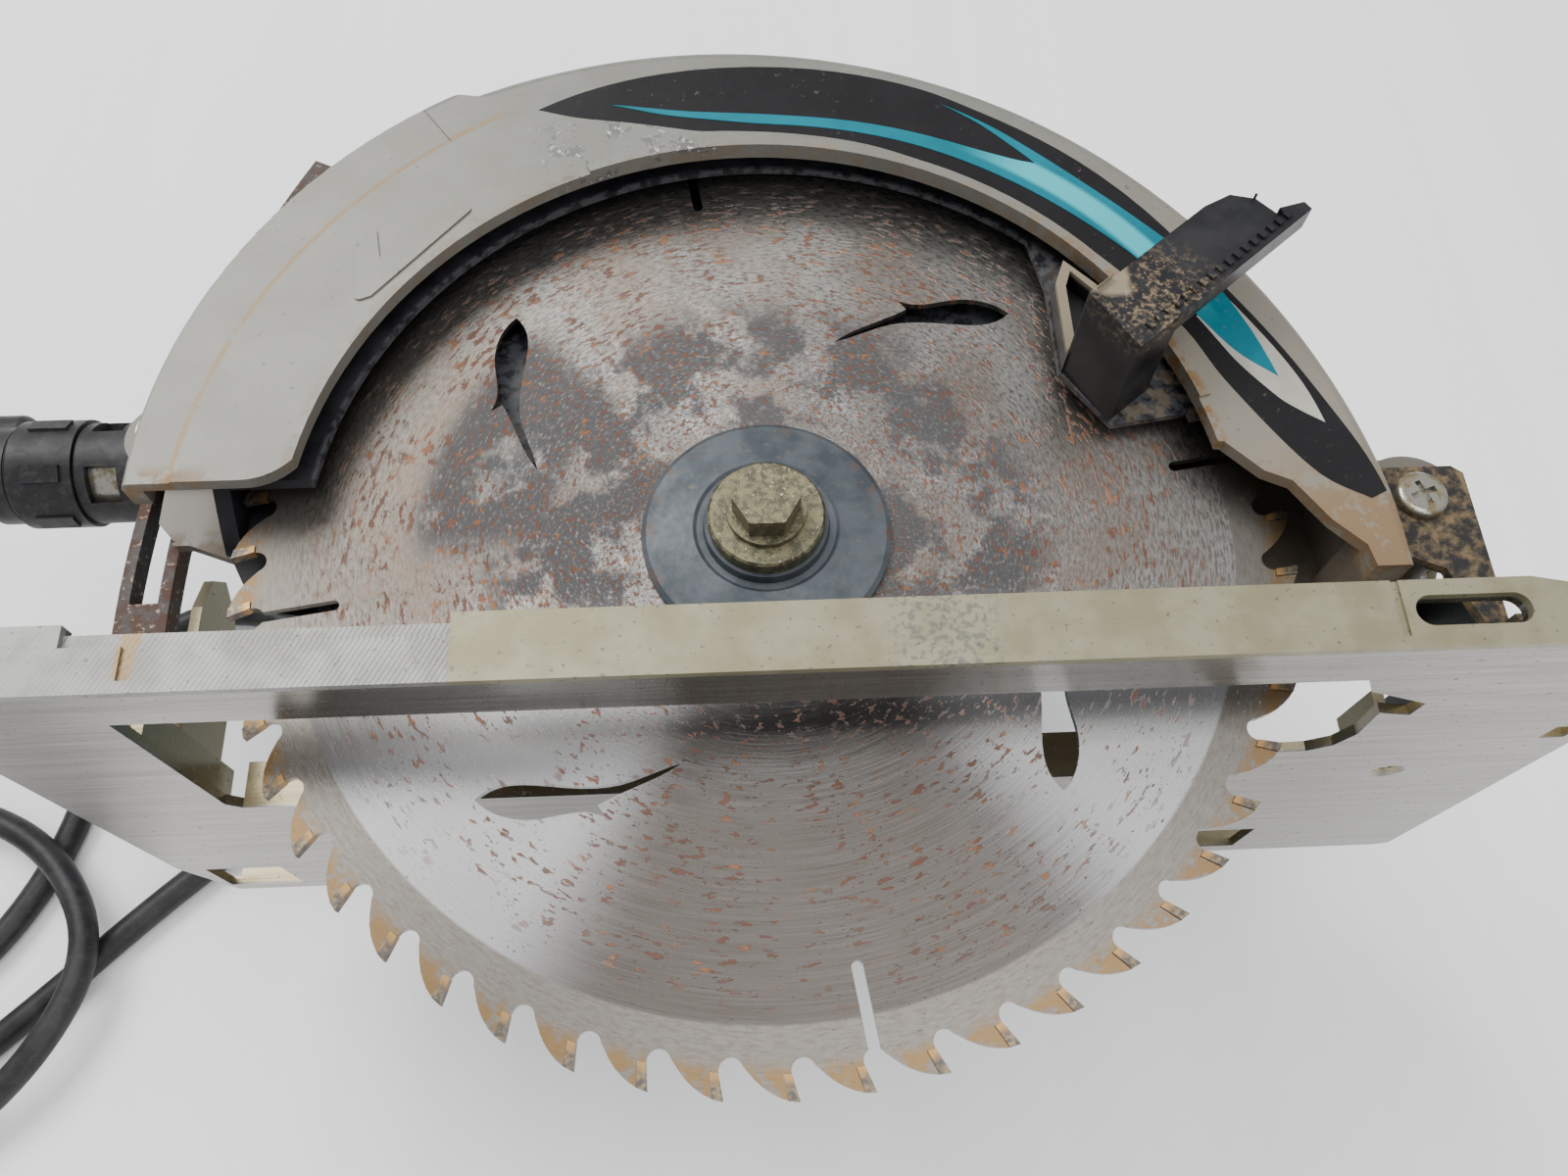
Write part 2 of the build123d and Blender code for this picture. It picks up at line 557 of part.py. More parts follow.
def upright(face, low, high):
    """Thickens a face in the sole's plane from one Y to another."""
    solid = extrude(face, high - low, dir=(0, 1, 0))
    return Pos(0, low, 0) * solid


def make_base():
    outline = [(BASE_REAR, BASE_NEAR), (BASE_FRONT, BASE_NEAR), (BASE_FRONT, BASE_FAR + 2)]
    outline += [(186, BASE_FAR), (-161, BASE_FAR), (BASE_REAR, -108)]
    slot = [(-131.5, SLOT_NEAR), (121, SLOT_NEAR), (124.4, 4.4), (140, -4.3), (139.8, -11.8)]
    slot += [(132.2, -9.4), (133.5, -24), (131, -32), (126, -35.5), (116, -36.2), (108, -40)]
    slot += [(104, SLOT_FAR), (-128, SLOT_FAR), (-131, -46)]
    sole = upright(in_sole(outline), SOLE_Y, SOLE_Y + SOLE)
    sole = sole - upright(in_sole(slot), SOLE_Y - 1, SOLE_Y + 5)

    near_flange = block((BASE_REAR, BASE_FRONT), (SOLE_Y, FLANGE_TOP), (BASE_NEAR - 4, BASE_NEAR))
    lower_edge = near_flange.edges().filter_by(Axis.X).group_by(Axis.Y)[0].sort_by(Axis.Z)[-1]
    near_flange = chamfer(lower_edge, 2.2)
    slope = flat([(148, -29), (200, -29), (200, -40), (186, -37)], 20, 35)
    rear_slope = flat([(-152, -29), (-180, -29), (-180, -40), (-166, -37)], 20, 35)
    rebate = block((-135, -61.5), (-34, -20), (BASE_NEAR - 1.4, 40))
    rebate = rebate + block((-135, -61.5), (-30.9, -20), (20, 40))
    window = Pos(136, -35.8, 20) * extrude(SlotOverall(23, 6.4), 20)
    grooves = block((-123, -121), (-41, -34), (BASE_NEAR - 0.7, 40))
    grooves = grooves + block((120.8, 122.4), (-41, -20), (BASE_NEAR - 0.7, 40))
    near_flange = near_flange - slope - rear_slope - rebate - window - grooves

    far_flange = block((-160, 186), (SOLE_Y, -33), (BASE_FAR, BASE_FAR + 2.5))
    front_flange = block((BASE_FRONT - 2.5, BASE_FRONT), (SOLE_Y, -36), (-133, BASE_NEAR - 3))
    rear_flange = block((BASE_REAR, BASE_REAR + 2.5), (SOLE_Y, -36), (-108, BASE_NEAR - 3))
    slot_wall = block((-128, 104), (SOLE_Y, -32), (SLOT_FAR - 2, SLOT_FAR))
    rear_wall = block((-134, -131.5), (SOLE_Y, -34), (-50, -2))
    front_wall = block((133.4, 136), (SOLE_Y, -37), (-32, -13))
    ribs = block((-165, 187), (SOLE_Y + SOLE, -38.5), (-92, -89.5))
    body = sole + near_flange + far_flange + front_flange + rear_flange
    body = body + slot_wall + rear_wall + front_wall + ribs

    for x in ((-161, -140), (112, 140)):
        body = body - block(x, (-50, -39), (-130, -110))
    body = body - block((180, 186), (-50, -39), (-32, -24))
    hole = Pos(154.3, SOLE_Y, -55.3) * Rot(90, 0, 0)
    body = body - hole * Cylinder(2.4, 20)
    sink = Cone(2.4, 4.4, 1.4)
    body = body - Pos(154.3, SOLE_Y + 0.65, -55.3) * Rot(90, 0, 0) * sink

    pin_hole = rod_x(3 + RUNNING, (-200, 200), BEVEL_Y, BEVEL_Z)
    lugs = block((157, 160), (SOLE_Y, -30.5), (5.5, 17.5)) + block((-154, -151), (SOLE_Y, -30.5), (5.5, 17.5))
    keep("base_plate", body + (lugs - pin_hole) + fin_plate())
    keep("bevel_quadrant", quadrant())


def fin_plate():
    """The upright tongue near the rear of the base."""
    side = [(-36, SOLE_Y), (-36, 4), (-40, 13), (-47, 16), (-55, 10), (-60, 0), (-60, SOLE_Y)]
    face = make_face(Polyline(*[(0, y, z) for z, y in side], close=True))
    return Pos(-142, 0, 0) * extrude(face, 2.5, dir=(1, 0, 0))


def quadrant():
    """The plate at the front with the bevel clamp's arc slot, standing on the sole."""
    outer, inner, start, end = 50.0, 33.5, 113.0, 176.0

    def at(radius, degrees):
        a = math.radians(degrees)
        return (0, BEVEL_Y + radius * math.sin(a), BEVEL_Z + radius * math.cos(a))

    def strip(r_out, r_in, first, last):
        mid = (first + last) / 2
        edges = [
            ThreePointArc(at(r_out, first), at(r_out, mid), at(r_out, last)),
            Line(at(r_out, last), at(r_in, last)),
            ThreePointArc(at(r_in, last), at(r_in, mid), at(r_in, first)),
            Line(at(r_in, first), at(r_out, first)),
        ]
        return make_face(edges)

    radius = math.hypot(CLAMP_BOLT_Y - BEVEL_Y, CLAMP_BOLT_Z - BEVEL_Z)
    bolt_at = math.degrees(math.atan2(CLAMP_BOLT_Y - BEVEL_Y, CLAMP_BOLT_Z - BEVEL_Z))
    plate = strip(outer, inner, start - 1, end)
    arc_slot = strip(radius + 3.4, radius - 3.4, bolt_at - 45 - 5, bolt_at + 5)
    solid = Pos(158.4, 0, 0) * extrude(plate - arc_slot, 2.4, dir=(1, 0, 0))
    foot = block((158.4, 160.8), (SOLE_Y + SOLE, BEVEL_Y + 4), (-38.5, -20))
    toe = block((158.4, 172), (SOLE_Y + SOLE, SOLE_Y + SOLE + 2.4), (-38.5, -20))
    return solid + foot + toe


# ---- handles and controls ----------------------------------------------------------------------
def handle_outline():
    top = [(26, 74), (20, 140), (-14, 168), (-78, 180), (-134, 152), (-160, 112), (-178, 86)]
    return rounded(top + [(-178, 54), (-140, 44), (-60, 70)], 9)


def finger_gap():
    corners = [(-34, 92), (-42, 136), (-80, 146), (-116, 128), (-146, 92), (-136, 74), (-64, 88)]
    return rounded(corners, 6)


def make_handle():
    outline = handle_outline()
    gap = finger_gap()
    inner = offset(outline, -2.8, kind=Kind.INTERSECTION) - offset(gap, 2.8, kind=Kind.INTERSECTION)
    motor = disc(47.3, -160, -60, MOTOR_X, MOTOR_Y)
    cord_hole = rod_x(9, (-200, -180), CORD_Y, HANDLE_Z)
    trigger_slot = block((-100, -48), (120, 152), (HANDLE_Z - 7, HANDLE_Z + 7))
    top = HANDLE_Z + HANDLE_HALF
    screws = ((8, 150), (-70, 168.5), (-124, 144), (-166, 70), (-96, 62))
    shells = (("handle_shell_near", HANDLE_Z, 1), ("handle_shell_far", HANDLE_Z - HANDLE_HALF, -1))
    for name, low, sign in shells:
        shell = Pos(0, 0, low) * extrude(outline - gap, HANDLE_HALF)
        side = shell.edges().group_by(Axis.Z)[-1 if sign > 0 else 0]
        shell = fillet(side, 4.5)
        floor = low if sign > 0 else low + 2.8
        shell = shell - Pos(0, 0, floor) * extrude(inner, HANDLE_HALF - 2.8)
        shell = shell - motor - cord_hole - trigger_slot
        if sign > 0:
            shell = shell - disc(4.3, HANDLE_Z, -50, *LOCK_OFF)
            for x, y in screws:
                shell = shell - disc(3.7, top - 0.5, top + 3, x, y)
        keep(name, shell)

    keep("trigger_switch", block((-90, -58), (154, 165), (HANDLE_Z - 10, HANDLE_Z + 10)))
    trigger = rounded([(-98, 148), (-51, 148), (-51, 133), (-64, 127), (-90, 128), (-98, 134)], 2.5)
    trunnions = disc(1.6, HANDLE_Z - 9.5, HANDLE_Z + 9.5, *TRIGGER_PIVOT)
    keep("trigger", Pos(0, 0, HANDLE_Z - 6.5) * extrude(trigger, 13) + trunnions)
    keep("lock_off_button", disc(4, top - 6, top + 4, *LOCK_OFF))
    heads = []
    for x, y in screws:
        head = disc(3.6, top - 0.4, top + 1.6, x, y)
        heads.append(fillet(head.edges().group_by(Axis.Z)[-1], 0.9))
    keep("handle_screws", Compound(children=heads))


def make_front_grip():
    arm = flat([(10, 62), (46, 96), (70, 88), (48, 44)], -61, -48)
    arm = arm - disc(47.2, -80, -40, MOTOR_X, MOTOR_Y) - disc(5.7, -80, -40, *motor_screw_places()[0])
    profile = [(0, 0), (12, 0), (14.5, 5), (15, 16), (13.5, 30), (14.5, 44), (16, 51), (12, 57), (0, 58)]
    grip = Pos(59, 90, -54.5) * Rot(0, 0, 72) * Rot(0, 90, 0) * revolved(profile)
    keep("front_grip", grip)
    keep("front_grip_arm", arm - grip)


# ---- small parts on the housings ---------------------------------------------------------------
def make_lock_button():
    """The spindle lock, which slides towards the driven gear."""
    button = rod_x(4, (33.6, 46), 0, LOCK_Z) + rod_x(6.5, (45.5, 50), 0, LOCK_Z)
    keep("spindle_lock_button", button)


def make_housing_screws():
    case_screws = [disc(2, -28, -13, x, y) + disc(3.8, -13, -10.6, x, y) for x, y in case_screw_places()]
    motor_screws = [disc(2, -74, -54, x, y) + disc(4.2, -78, -74, x, y) for x, y in motor_screw_places()]
    cover_screws = []
    for x in (MOTOR_X - 30, MOTOR_X + 30):
        shank = disc(2, -182.2, -174, x, MOTOR_Y)
        cover_screws.append(shank + disc(4, -184.6, -182.2, x, MOTOR_Y))
    keep("housing_screws", Compound(children=case_screws + motor_screws + cover_screws))


# ---- cord coupling, cord and plug --------------------------------------------------------------
def along_cord(radius, start, end):
    """A round rod on the axis of the cord coupling."""
    return rod_x(radius, (start, end), CORD_Y, HANDLE_Z)


def make_coupling():
    socket = along_cord(15, -197.6, -178) - along_cord(12.6, -199, -180)
    for angle in (45, 135, 225, 315):
        window = Pos(-190, CORD_Y, HANDLE_Z) * Rot(angle, 0, 0) * Pos(0, 14, 0) * Box(9, 8, 11)
        socket = socket - window
    keep("cord_socket", socket)
    core = along_cord(12.5, -196, -180) - along_cord(9, -197, -181.5)
    for y in (-4.5, 4.5):
        core = core + Pos(0, y, 0) * along_cord(2, -198, -181)
    keep("socket_core", core)

    collar = along_cord(16, -218, -198) - along_cord(13.2, -219, -197)
    cord_end = collar.edges().filter_by(GeomType.CIRCLE).group_by(Axis.X)[0]
    collar = chamfer(cord_end.sort_by(SortBy.RADIUS)[-1], 1.6)
    for k in range(6):
        rib = Pos(-206.5, CORD_Y, HANDLE_Z) * Rot(60 * k, 0, 0) * Pos(0, 16, 0) * Box(11, 1.6, 5)
        collar = collar + rib
    keep("coupling_collar", collar)

    body = along_cord(13.15, -218.2, -198.5) + along_cord(14.5, -225, -218.2) + along_cord(13.5, -258, -225)
    body = body - along_cord(9.5, -214, -190)
    latch = rod_x(7.5, (-238, -219), CORD_Y + 12.5, HANDLE_Z)
    latch = fillet(latch.edges().filter_by(GeomType.CIRCLE), 3)
    keep("coupling_body", body + latch)
    relief = Cone(9, 5.4, 34, align=(Align.CENTER, Align.CENTER, Align.MIN))
    keep("cord_strain_relief", Pos(-258, CORD_Y, HANDLE_Z) * Rot(0, -90, 0) * relief)


ON_FLOOR = FLOOR_Z + CORD_RADIUS + 0.1
OVER = ON_FLOOR + 9.8  # height of the cord where it lies across itself

CORD_ROUTE = [
    (-292, 70, -80),
    (-328, 70, -80),
    (-360, 60, -95),
    (-382, 39, -119),
    (-391, 11, -146),
    (-386, -20, -168),
    (-366, -50, -179),
    (-334, -70, ON_FLOOR),
    (-297, -75, ON_FLOOR),
    (-264, -60, ON_FLOOR),
    (-243, -28, ON_FLOOR),
    (-234, 8, ON_FLOOR),
    (-237, 44, ON_FLOOR),
    (-212, 69, ON_FLOOR),
    (-178, 69, ON_FLOOR),
    (-153, 44, ON_FLOOR),
    (-153, 9, ON_FLOOR),
    (-178, -15, ON_FLOOR),
    (-207, -39, ON_FLOOR),
    (-237, -68, ON_FLOOR),
    (-268, -95, ON_FLOOR),
    (-304, -106, ON_FLOOR + 3),
    (-338, -91, OVER),
    (-352, -55, OVER),
    (-337, -20, ON_FLOOR + 5),
    (-301, -2, ON_FLOOR + 5),
    (-264, -6, OVER),
    (-236, -23, OVER),
    (-219, -53, OVER),
    (-231, -86, OVER),
    (-260, -112, ON_FLOOR + 4),
    (-282, -141, ON_FLOOR),
    (-287, -176, ON_FLOOR),
]
COIL_CENTRE = (-346.0, -180.0)
CORD_TAIL = [
    (-350, -239, ON_FLOOR),
    (-380, -237, ON_FLOOR),
    (-405, -218, ON_FLOOR),
    (-418, -190, ON_FLOOR),
    (-420, -160, ON_FLOOR),
]
CORD_NODES = ("power_cord", "cord_coil", "cord_tail", "power_plug", "cord_strain_relief")


def corner_radii(route):
    """The largest arc that each corner's two runs allow."""
    radii = []
    for before, corner, after in zip(route, route[1:], route[2:]):
        arriving = Vector(*corner) - Vector(*before)
        leaving = Vector(*after) - Vector(*corner)
        half_turn = math.radians(arriving.get_angle(leaving)) / 2
        radii.append(0.45 * min(arriving.length, leaving.length) / math.tan(half_turn))
    return radii


def tube(route):
    """A round tube along straight runs joined by arcs."""
    radii = corner_radii(route)
    print("cord radii", " ".join(f"{r:.0f}" for r in radii))
    path = FilletPolyline(*route, radius=radii)
    section = Plane(origin=path @ 0, z_dir=path % 0) * Circle(CORD_RADIUS)
    solid = sweep(section, path=path)
    share = solid.volume / (section.area * path.length)
    print("cord length", round(path.length), "volume ratio", round(share, 4))
    return solid


def make_cord():
    keep("power_cord", tube(CORD_ROUTE))
    x, y = COIL_CENTRE
    profile = [(36.5, FLOOR_Z), (63.5, FLOOR_Z), (63.5, FLOOR_Z + 9), (59, FLOOR_Z + 17)]
    profile += [(41, FLOOR_Z + 17), (36.5, FLOOR_Z + 9)]
    keep("cord_coil", Pos(x, y, 0) * revolved(profile))
    keep("cord_tail", tube(CORD_TAIL))
    make_plug(*CORD_TAIL[-2:])


def make_plug(before, end):
    """A moulded two-pin plug that lies on the floor at the end of the cord."""
    heading = math.degrees(math.atan2(end[1] - before[1], end[0] - before[0]))
    place = Pos(end[0], end[1], FLOOR_Z + 7.2) * Rot(0, 0, heading)
    outline = rounded([(20, -8), (20, 8), (34, 16.5), (54, 16.5), (54, -16.5), (34, -16.5)], 3)
    body = Pos(0, 0, -7) * extrude(outline, 14)
    body = fillet(body.edges().group_by(Axis.Z)[-1], 3)
    neck = Rot(0, 90, 0) * Cone(5.4, 7, 24, align=(Align.CENTER, Align.CENTER, Align.MIN))
    neck = Pos(0, 0, ON_FLOOR - FLOOR_Z - 7.2) * neck
    body = body + (neck & block((-1, 30), (-9, 9), (-7, 8)))
    for side in (-9.5, 9.5):
        body = body + Pos(53, side, 0) * Rot(0, 90, 0) * extrude(Circle(2.4), 20)
    keep("power_plug", place * body)


make_blade()
make_spindle()
make_armature()
make_motor()
make_upper_guard()
make_housings()
make_lower_guard()
make_guard_lever()
make_tilt_frame()
make_clamps()
make_base()
make_handle()
make_front_grip()
make_lock_button()
make_housing_screws()
make_coupling()
make_cord()


def to_row_frame():
    """Moves everything so that the origin is at the middle of the underside of the saw without its cord."""
    boxes = [shape.bounding_box() for name, shape in pieces.items() if name not in CORD_NODES]
    low = [min(getattr(box.min, axis) for box in boxes) for axis in "XYZ"]
    high = [max(getattr(box.max, axis) for box in boxes) for axis in "XYZ"]
    return Pos(-(low[0] + high[0]) / 2, -(low[1] + high[1]) / 2, -low[2])


row_frame = to_row_frame()
print("blade centre in the row frame", [round(value, 4) for value in row_frame.position])
for name, shape in pieces.items():
    export_step(row_frame * shape, f"parts/{name}.step")
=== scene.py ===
"""The looks of a corded circular saw that lies on its motor end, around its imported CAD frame."""

import json
import math

import bpy
from mathutils import Matrix, Vector


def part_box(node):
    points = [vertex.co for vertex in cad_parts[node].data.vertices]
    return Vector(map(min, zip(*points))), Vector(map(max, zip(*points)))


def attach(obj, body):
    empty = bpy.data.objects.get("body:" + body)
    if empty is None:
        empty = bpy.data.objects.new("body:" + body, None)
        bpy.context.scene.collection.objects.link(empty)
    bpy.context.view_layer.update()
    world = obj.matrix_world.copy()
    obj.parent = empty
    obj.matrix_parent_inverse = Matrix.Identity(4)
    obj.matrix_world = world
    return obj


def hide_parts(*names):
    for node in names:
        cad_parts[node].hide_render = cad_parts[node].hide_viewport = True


MM = 0.001
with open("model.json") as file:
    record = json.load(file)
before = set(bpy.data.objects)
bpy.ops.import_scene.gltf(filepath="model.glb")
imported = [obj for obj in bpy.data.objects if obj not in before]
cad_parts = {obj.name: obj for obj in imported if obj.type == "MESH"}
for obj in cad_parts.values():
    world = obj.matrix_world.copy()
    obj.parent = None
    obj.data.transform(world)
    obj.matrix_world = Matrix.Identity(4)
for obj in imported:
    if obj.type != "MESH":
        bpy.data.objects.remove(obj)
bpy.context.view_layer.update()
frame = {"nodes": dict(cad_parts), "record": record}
nodes = frame["nodes"]

# ---- places: BLADE is read from the frame, in metres; the rest are millimetres from it ----------
blade_low, blade_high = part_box("saw_blade")
BLADE = (blade_low + blade_high) / 2  # centre of the blade
FLOOR = 0.0
CORD_RADIUS = 4.5
ON_FLOOR = -185 + CORD_RADIUS + 0.1  # middle of the cord where it lies on the floor
OVER = ON_FLOOR + 9.8  # middle of the cord where it crosses over itself
HANDLE_Z = -80.0
CORD_Y = 70.0
GUARD_FACE = 16.0
RIM_CENTRE = (-1.4, -2.0)  # middle of the guard's round opening
TOOTH_RING = 104.0  # where the blade's darker outer ring begins

# ---- camera: its place from the blade's centre, and its angles in degrees ------------------------
CAMERA_PLACE = (-4.23, -130.8, 250.3)
CAMERA_TILT, CAMERA_TURN, CAMERA_ROLL = 25.19, -1.57, -1.91
CAMERA_LENS, CAMERA_SENSOR = 29.04, 36


def at(x, y, z):
    """A point given in millimetres from the blade's centre, in the row frame in metres."""
    return BLADE + Vector((x, y, z)) * MM


def polar(radius, degrees):
    a = math.radians(degrees)
    return radius * math.cos(a), radius * math.sin(a)


# ---- camera and lights -------------------------------------------------------------------------
def make_camera():
    camera = bpy.data.objects.new("camera", bpy.data.cameras.new("camera"))
    bpy.context.scene.collection.objects.link(camera)
    camera.data.lens = CAMERA_LENS
    camera.data.sensor_width = CAMERA_SENSOR
    camera.data.clip_start = 0.01
    tilt = Matrix.Rotation(math.radians(CAMERA_TILT), 3, "X")
    turn = Matrix.Rotation(math.radians(CAMERA_TURN), 3, "Y")
    roll = Matrix.Rotation(math.radians(CAMERA_ROLL), 3, "Z")
    camera.matrix_world = Matrix.Translation(at(*CAMERA_PLACE)) @ (tilt @ turn @ roll).to_4x4()
    bpy.context.scene.camera = camera


def area_light(name, place, target, size, power, colour=(1, 1, 1)):
    light = bpy.data.objects.new(name, bpy.data.lights.new(name, "AREA"))
    bpy.context.scene.collection.objects.link(light)
    light.data.shape = "RECTANGLE"
    light.data.size, light.data.size_y = size
    light.data.energy = power
    light.data.color = colour
    light.location = place
    light.rotation_euler = (target - place).to_track_quat("-Z", "Y").to_euler()


def make_studio():
    world = bpy.data.worlds.new("studio")
    world.use_nodes = True
    sky = world.node_tree.nodes["Background"]
    sky.inputs["Color"].default_value = (0.93, 0.95, 1.0, 1)
    sky.inputs["Strength"].default_value = 0.80
    bpy.context.scene.world = world
    middle = at(0, 0, 0)
    area_light("window", at(-900, 900, 1500), middle, (1.4, 1.0), 40, (1.0, 0.99, 0.97))
    area_light("ceiling", at(300, -100, 1700), middle, (1.2, 1.2), 17)
    area_light("front", at(700, -1100, 700), middle, (1.0, 0.8), 7, (1.0, 0.98, 0.95))
    bpy.ops.mesh.primitive_plane_add(size=6, location=(0, 0, FLOOR))
    floor = bpy.context.object
    floor.name = "floor"
    floor.data.materials.append(paper())


# ---- material kit ------------------------------------------------------------------------------
class Look:
    """A material, with the few node calls that the looks below are written with.

    Its coordinates are millimetres from the blade's centre, so scales below are per millimetre.
    """

    def __init__(self, name, metallic=0.0, roughness=0.5):
        self.material = bpy.data.materials.new(name)
        self.material.use_nodes = True
        self.tree = self.material.node_tree
        self.shader = self.tree.nodes["Principled BSDF"]
        self.shader.inputs["Metallic"].default_value = metallic
        self.shader.inputs["Roughness"].default_value = roughness
        coords = self.tree.nodes.new("ShaderNodeTexCoord").outputs["Object"]
        self.place = self.vector("MULTIPLY", self.vector("SUBTRACT", coords, BLADE), (1000, 1000, 1000))
        self.x, self.y, self.z = self.node("ShaderNodeSeparateXYZ", Vector=self.place).outputs
        self.relief = None

    def put(self, socket, value):
        if isinstance(value, bpy.types.NodeSocket):
            self.tree.links.new(value, socket)
        elif socket.type == "RGBA":
            socket.default_value = (*value, 1)
        else:
            socket.default_value = value

    def node(self, kind, **sockets):
        made = self.tree.nodes.new(kind)
        for name, value in sockets.items():
            self.put(made.inputs[name], value)
        return made

    def vector(self, operation, a, b):
        made = self.tree.nodes.new("ShaderNodeVectorMath")
        made.operation = operation
        self.put(made.inputs[0], a)
        self.put(made.inputs[1], b)
        return made.outputs[0]

    def math(self, operation, a, b=0.0):
        made = self.tree.nodes.new("ShaderNodeMath")
        made.operation = operation
        self.put(made.inputs[0], a)
        self.put(made.inputs[1], b)
        return made.outputs[0]

    def both(self, *masks):
        """The product of several masks."""
        product = masks[0]
        for mask in masks[1:]:
            product = self.math("MULTIPLY", product, mask)
        return product

    def either(self, *masks):
        """The largest of several masks."""
        largest = masks[0]
        for mask in masks[1:]:
            largest = self.math("MAXIMUM", largest, mask)
        return largest

    def step(self, value, low, high):
        """0 below low and 1 above high, smooth between; the other way round if low is above high."""
        made = self.tree.nodes.new("ShaderNodeMapRange")
        made.interpolation_type = "SMOOTHSTEP"
        flip = low > high
        made.inputs["From Min"].default_value = min(low, high)
        made.inputs["From Max"].default_value = max(low, high)
        made.inputs["To Min"].default_value = 1.0 if flip else 0.0
        made.inputs["To Max"].default_value = 0.0 if flip else 1.0
        self.put(made.inputs["Value"], value)
        return made.outputs["Result"]

    def band(self, value, low, high, soft):
        """1 between low and high, falling to 0 over soft on each side."""
        return self.both(self.step(value, low - soft, low), self.step(value, high + soft, high))

    def stretched(self, scale):
        return self.vector("MULTIPLY", self.place, scale)

    def noise(self, scale, detail=3.0, rough=0.55, vector=None):
        made = self.node("ShaderNodeTexNoise", Scale=scale, Detail=detail, Roughness=rough)
        self.put(made.inputs["Vector"], vector or self.place)
        return made.outputs["Fac"]

    def patches(self, scale, low, high, detail=3.0, rough=0.55):
        """A mask of irregular patches: noise that is 0 below low and 1 above high."""
        return self.step(self.noise(scale, detail, rough), low, high)

    def mix(self, share, a, b):
        made = self.tree.nodes.new("ShaderNodeMix")
        made.data_type = "RGBA"
        self.put(made.inputs[0], share)
        self.put(made.inputs[6], a)
        self.put(made.inputs[7], b)
        return made.outputs[2]

    def over(self, tone, mask, colour, strength=1.0):
        """The tone with a colour laid over it along a mask."""
        return self.mix(self.math("MULTIPLY", mask, strength), tone, colour)

    def polar(self, centre=(0.0, 0.0)):
        """Distance from an upright axis in millimetres, and the angle in degrees, 0 to the front."""
        x, y = self.math("SUBTRACT", self.x, centre[0]), self.math("SUBTRACT", self.y, centre[1])
        square = self.math("ADD", self.math("MULTIPLY", x, x), self.math("MULTIPLY", y, y))
        angle = self.math("MULTIPLY", self.math("ARCTAN2", y, x), 180 / math.pi)
        return self.math("SQRT", square), angle

    def ground(self, across, along, detail=3.0, rough=0.55):
        """Noise stretched round the blade, made of two halves so that it has no seam."""
        radius = self.polar()[0]
        halves = []
        for sign in (1.0, -1.0):
            x, y = self.math("MULTIPLY", self.x, sign), self.math("MULTIPLY", self.y, sign)
            joined = self.node("ShaderNodeCombineXYZ")
            self.put(joined.inputs[0], self.math("MULTIPLY", radius, across))
            self.put(joined.inputs[1], self.math("MULTIPLY", self.math("ARCTAN2", y, x), 75 * along))
            self.put(joined.inputs[2], 7.0 * sign)
            halves.append(self.noise(1.0, detail, rough, joined.outputs[0]))
        share = self.step(self.x, -8, 8)
        left = self.both(self.math("SUBTRACT", 1.0, share), halves[1])
        return self.math("ADD", self.both(share, halves[0]), left)

    def colour(self, value):
        self.put(self.shader.inputs["Base Color"], value)

    def rough(self, mask, low, high):
        """Roughness from low to high along a mask."""
        span = self.math("MULTIPLY", mask, high - low)
        self.put(self.shader.inputs["Roughness"], self.math("ADD", span, low))

    def metal(self, mask, low, high):
        span = self.math("MULTIPLY", mask, high - low)
        self.put(self.shader.inputs["Metallic"], self.math("ADD", span, low))

    def bump(self, height, depth):
        """Adds relief of that depth in millimetres."""
        made = self.node("ShaderNodeBump", Height=height)
        made.inputs["Distance"].default_value = depth * MM
        if self.relief:
            self.put(made.inputs["Normal"], self.relief)
        self.relief = made.outputs["Normal"]
        self.put(self.shader.inputs["Normal"], self.relief)


RUST = (0.115, 0.040, 0.018)
ORANGE_RUST = (0.28, 0.105, 0.032)
DUST = (0.30, 0.215, 0.12)


# ---- the looks ---------------------------------------------------------------------------------
def paper():
    look = Look("paper", roughness=0.6)
    # painted light and shade of the paper's faint corrugation, in stripes
    corrugation_shading = look.noise(0.05, 2.0, 0.5, look.stretched((1.0, 0.03, 1.0)))
    look.colour(look.mix(look.step(corrugation_shading, 0.3, 0.7), (0.92, 0.92, 0.925), (0.95, 0.948, 0.945)))
    return look.material


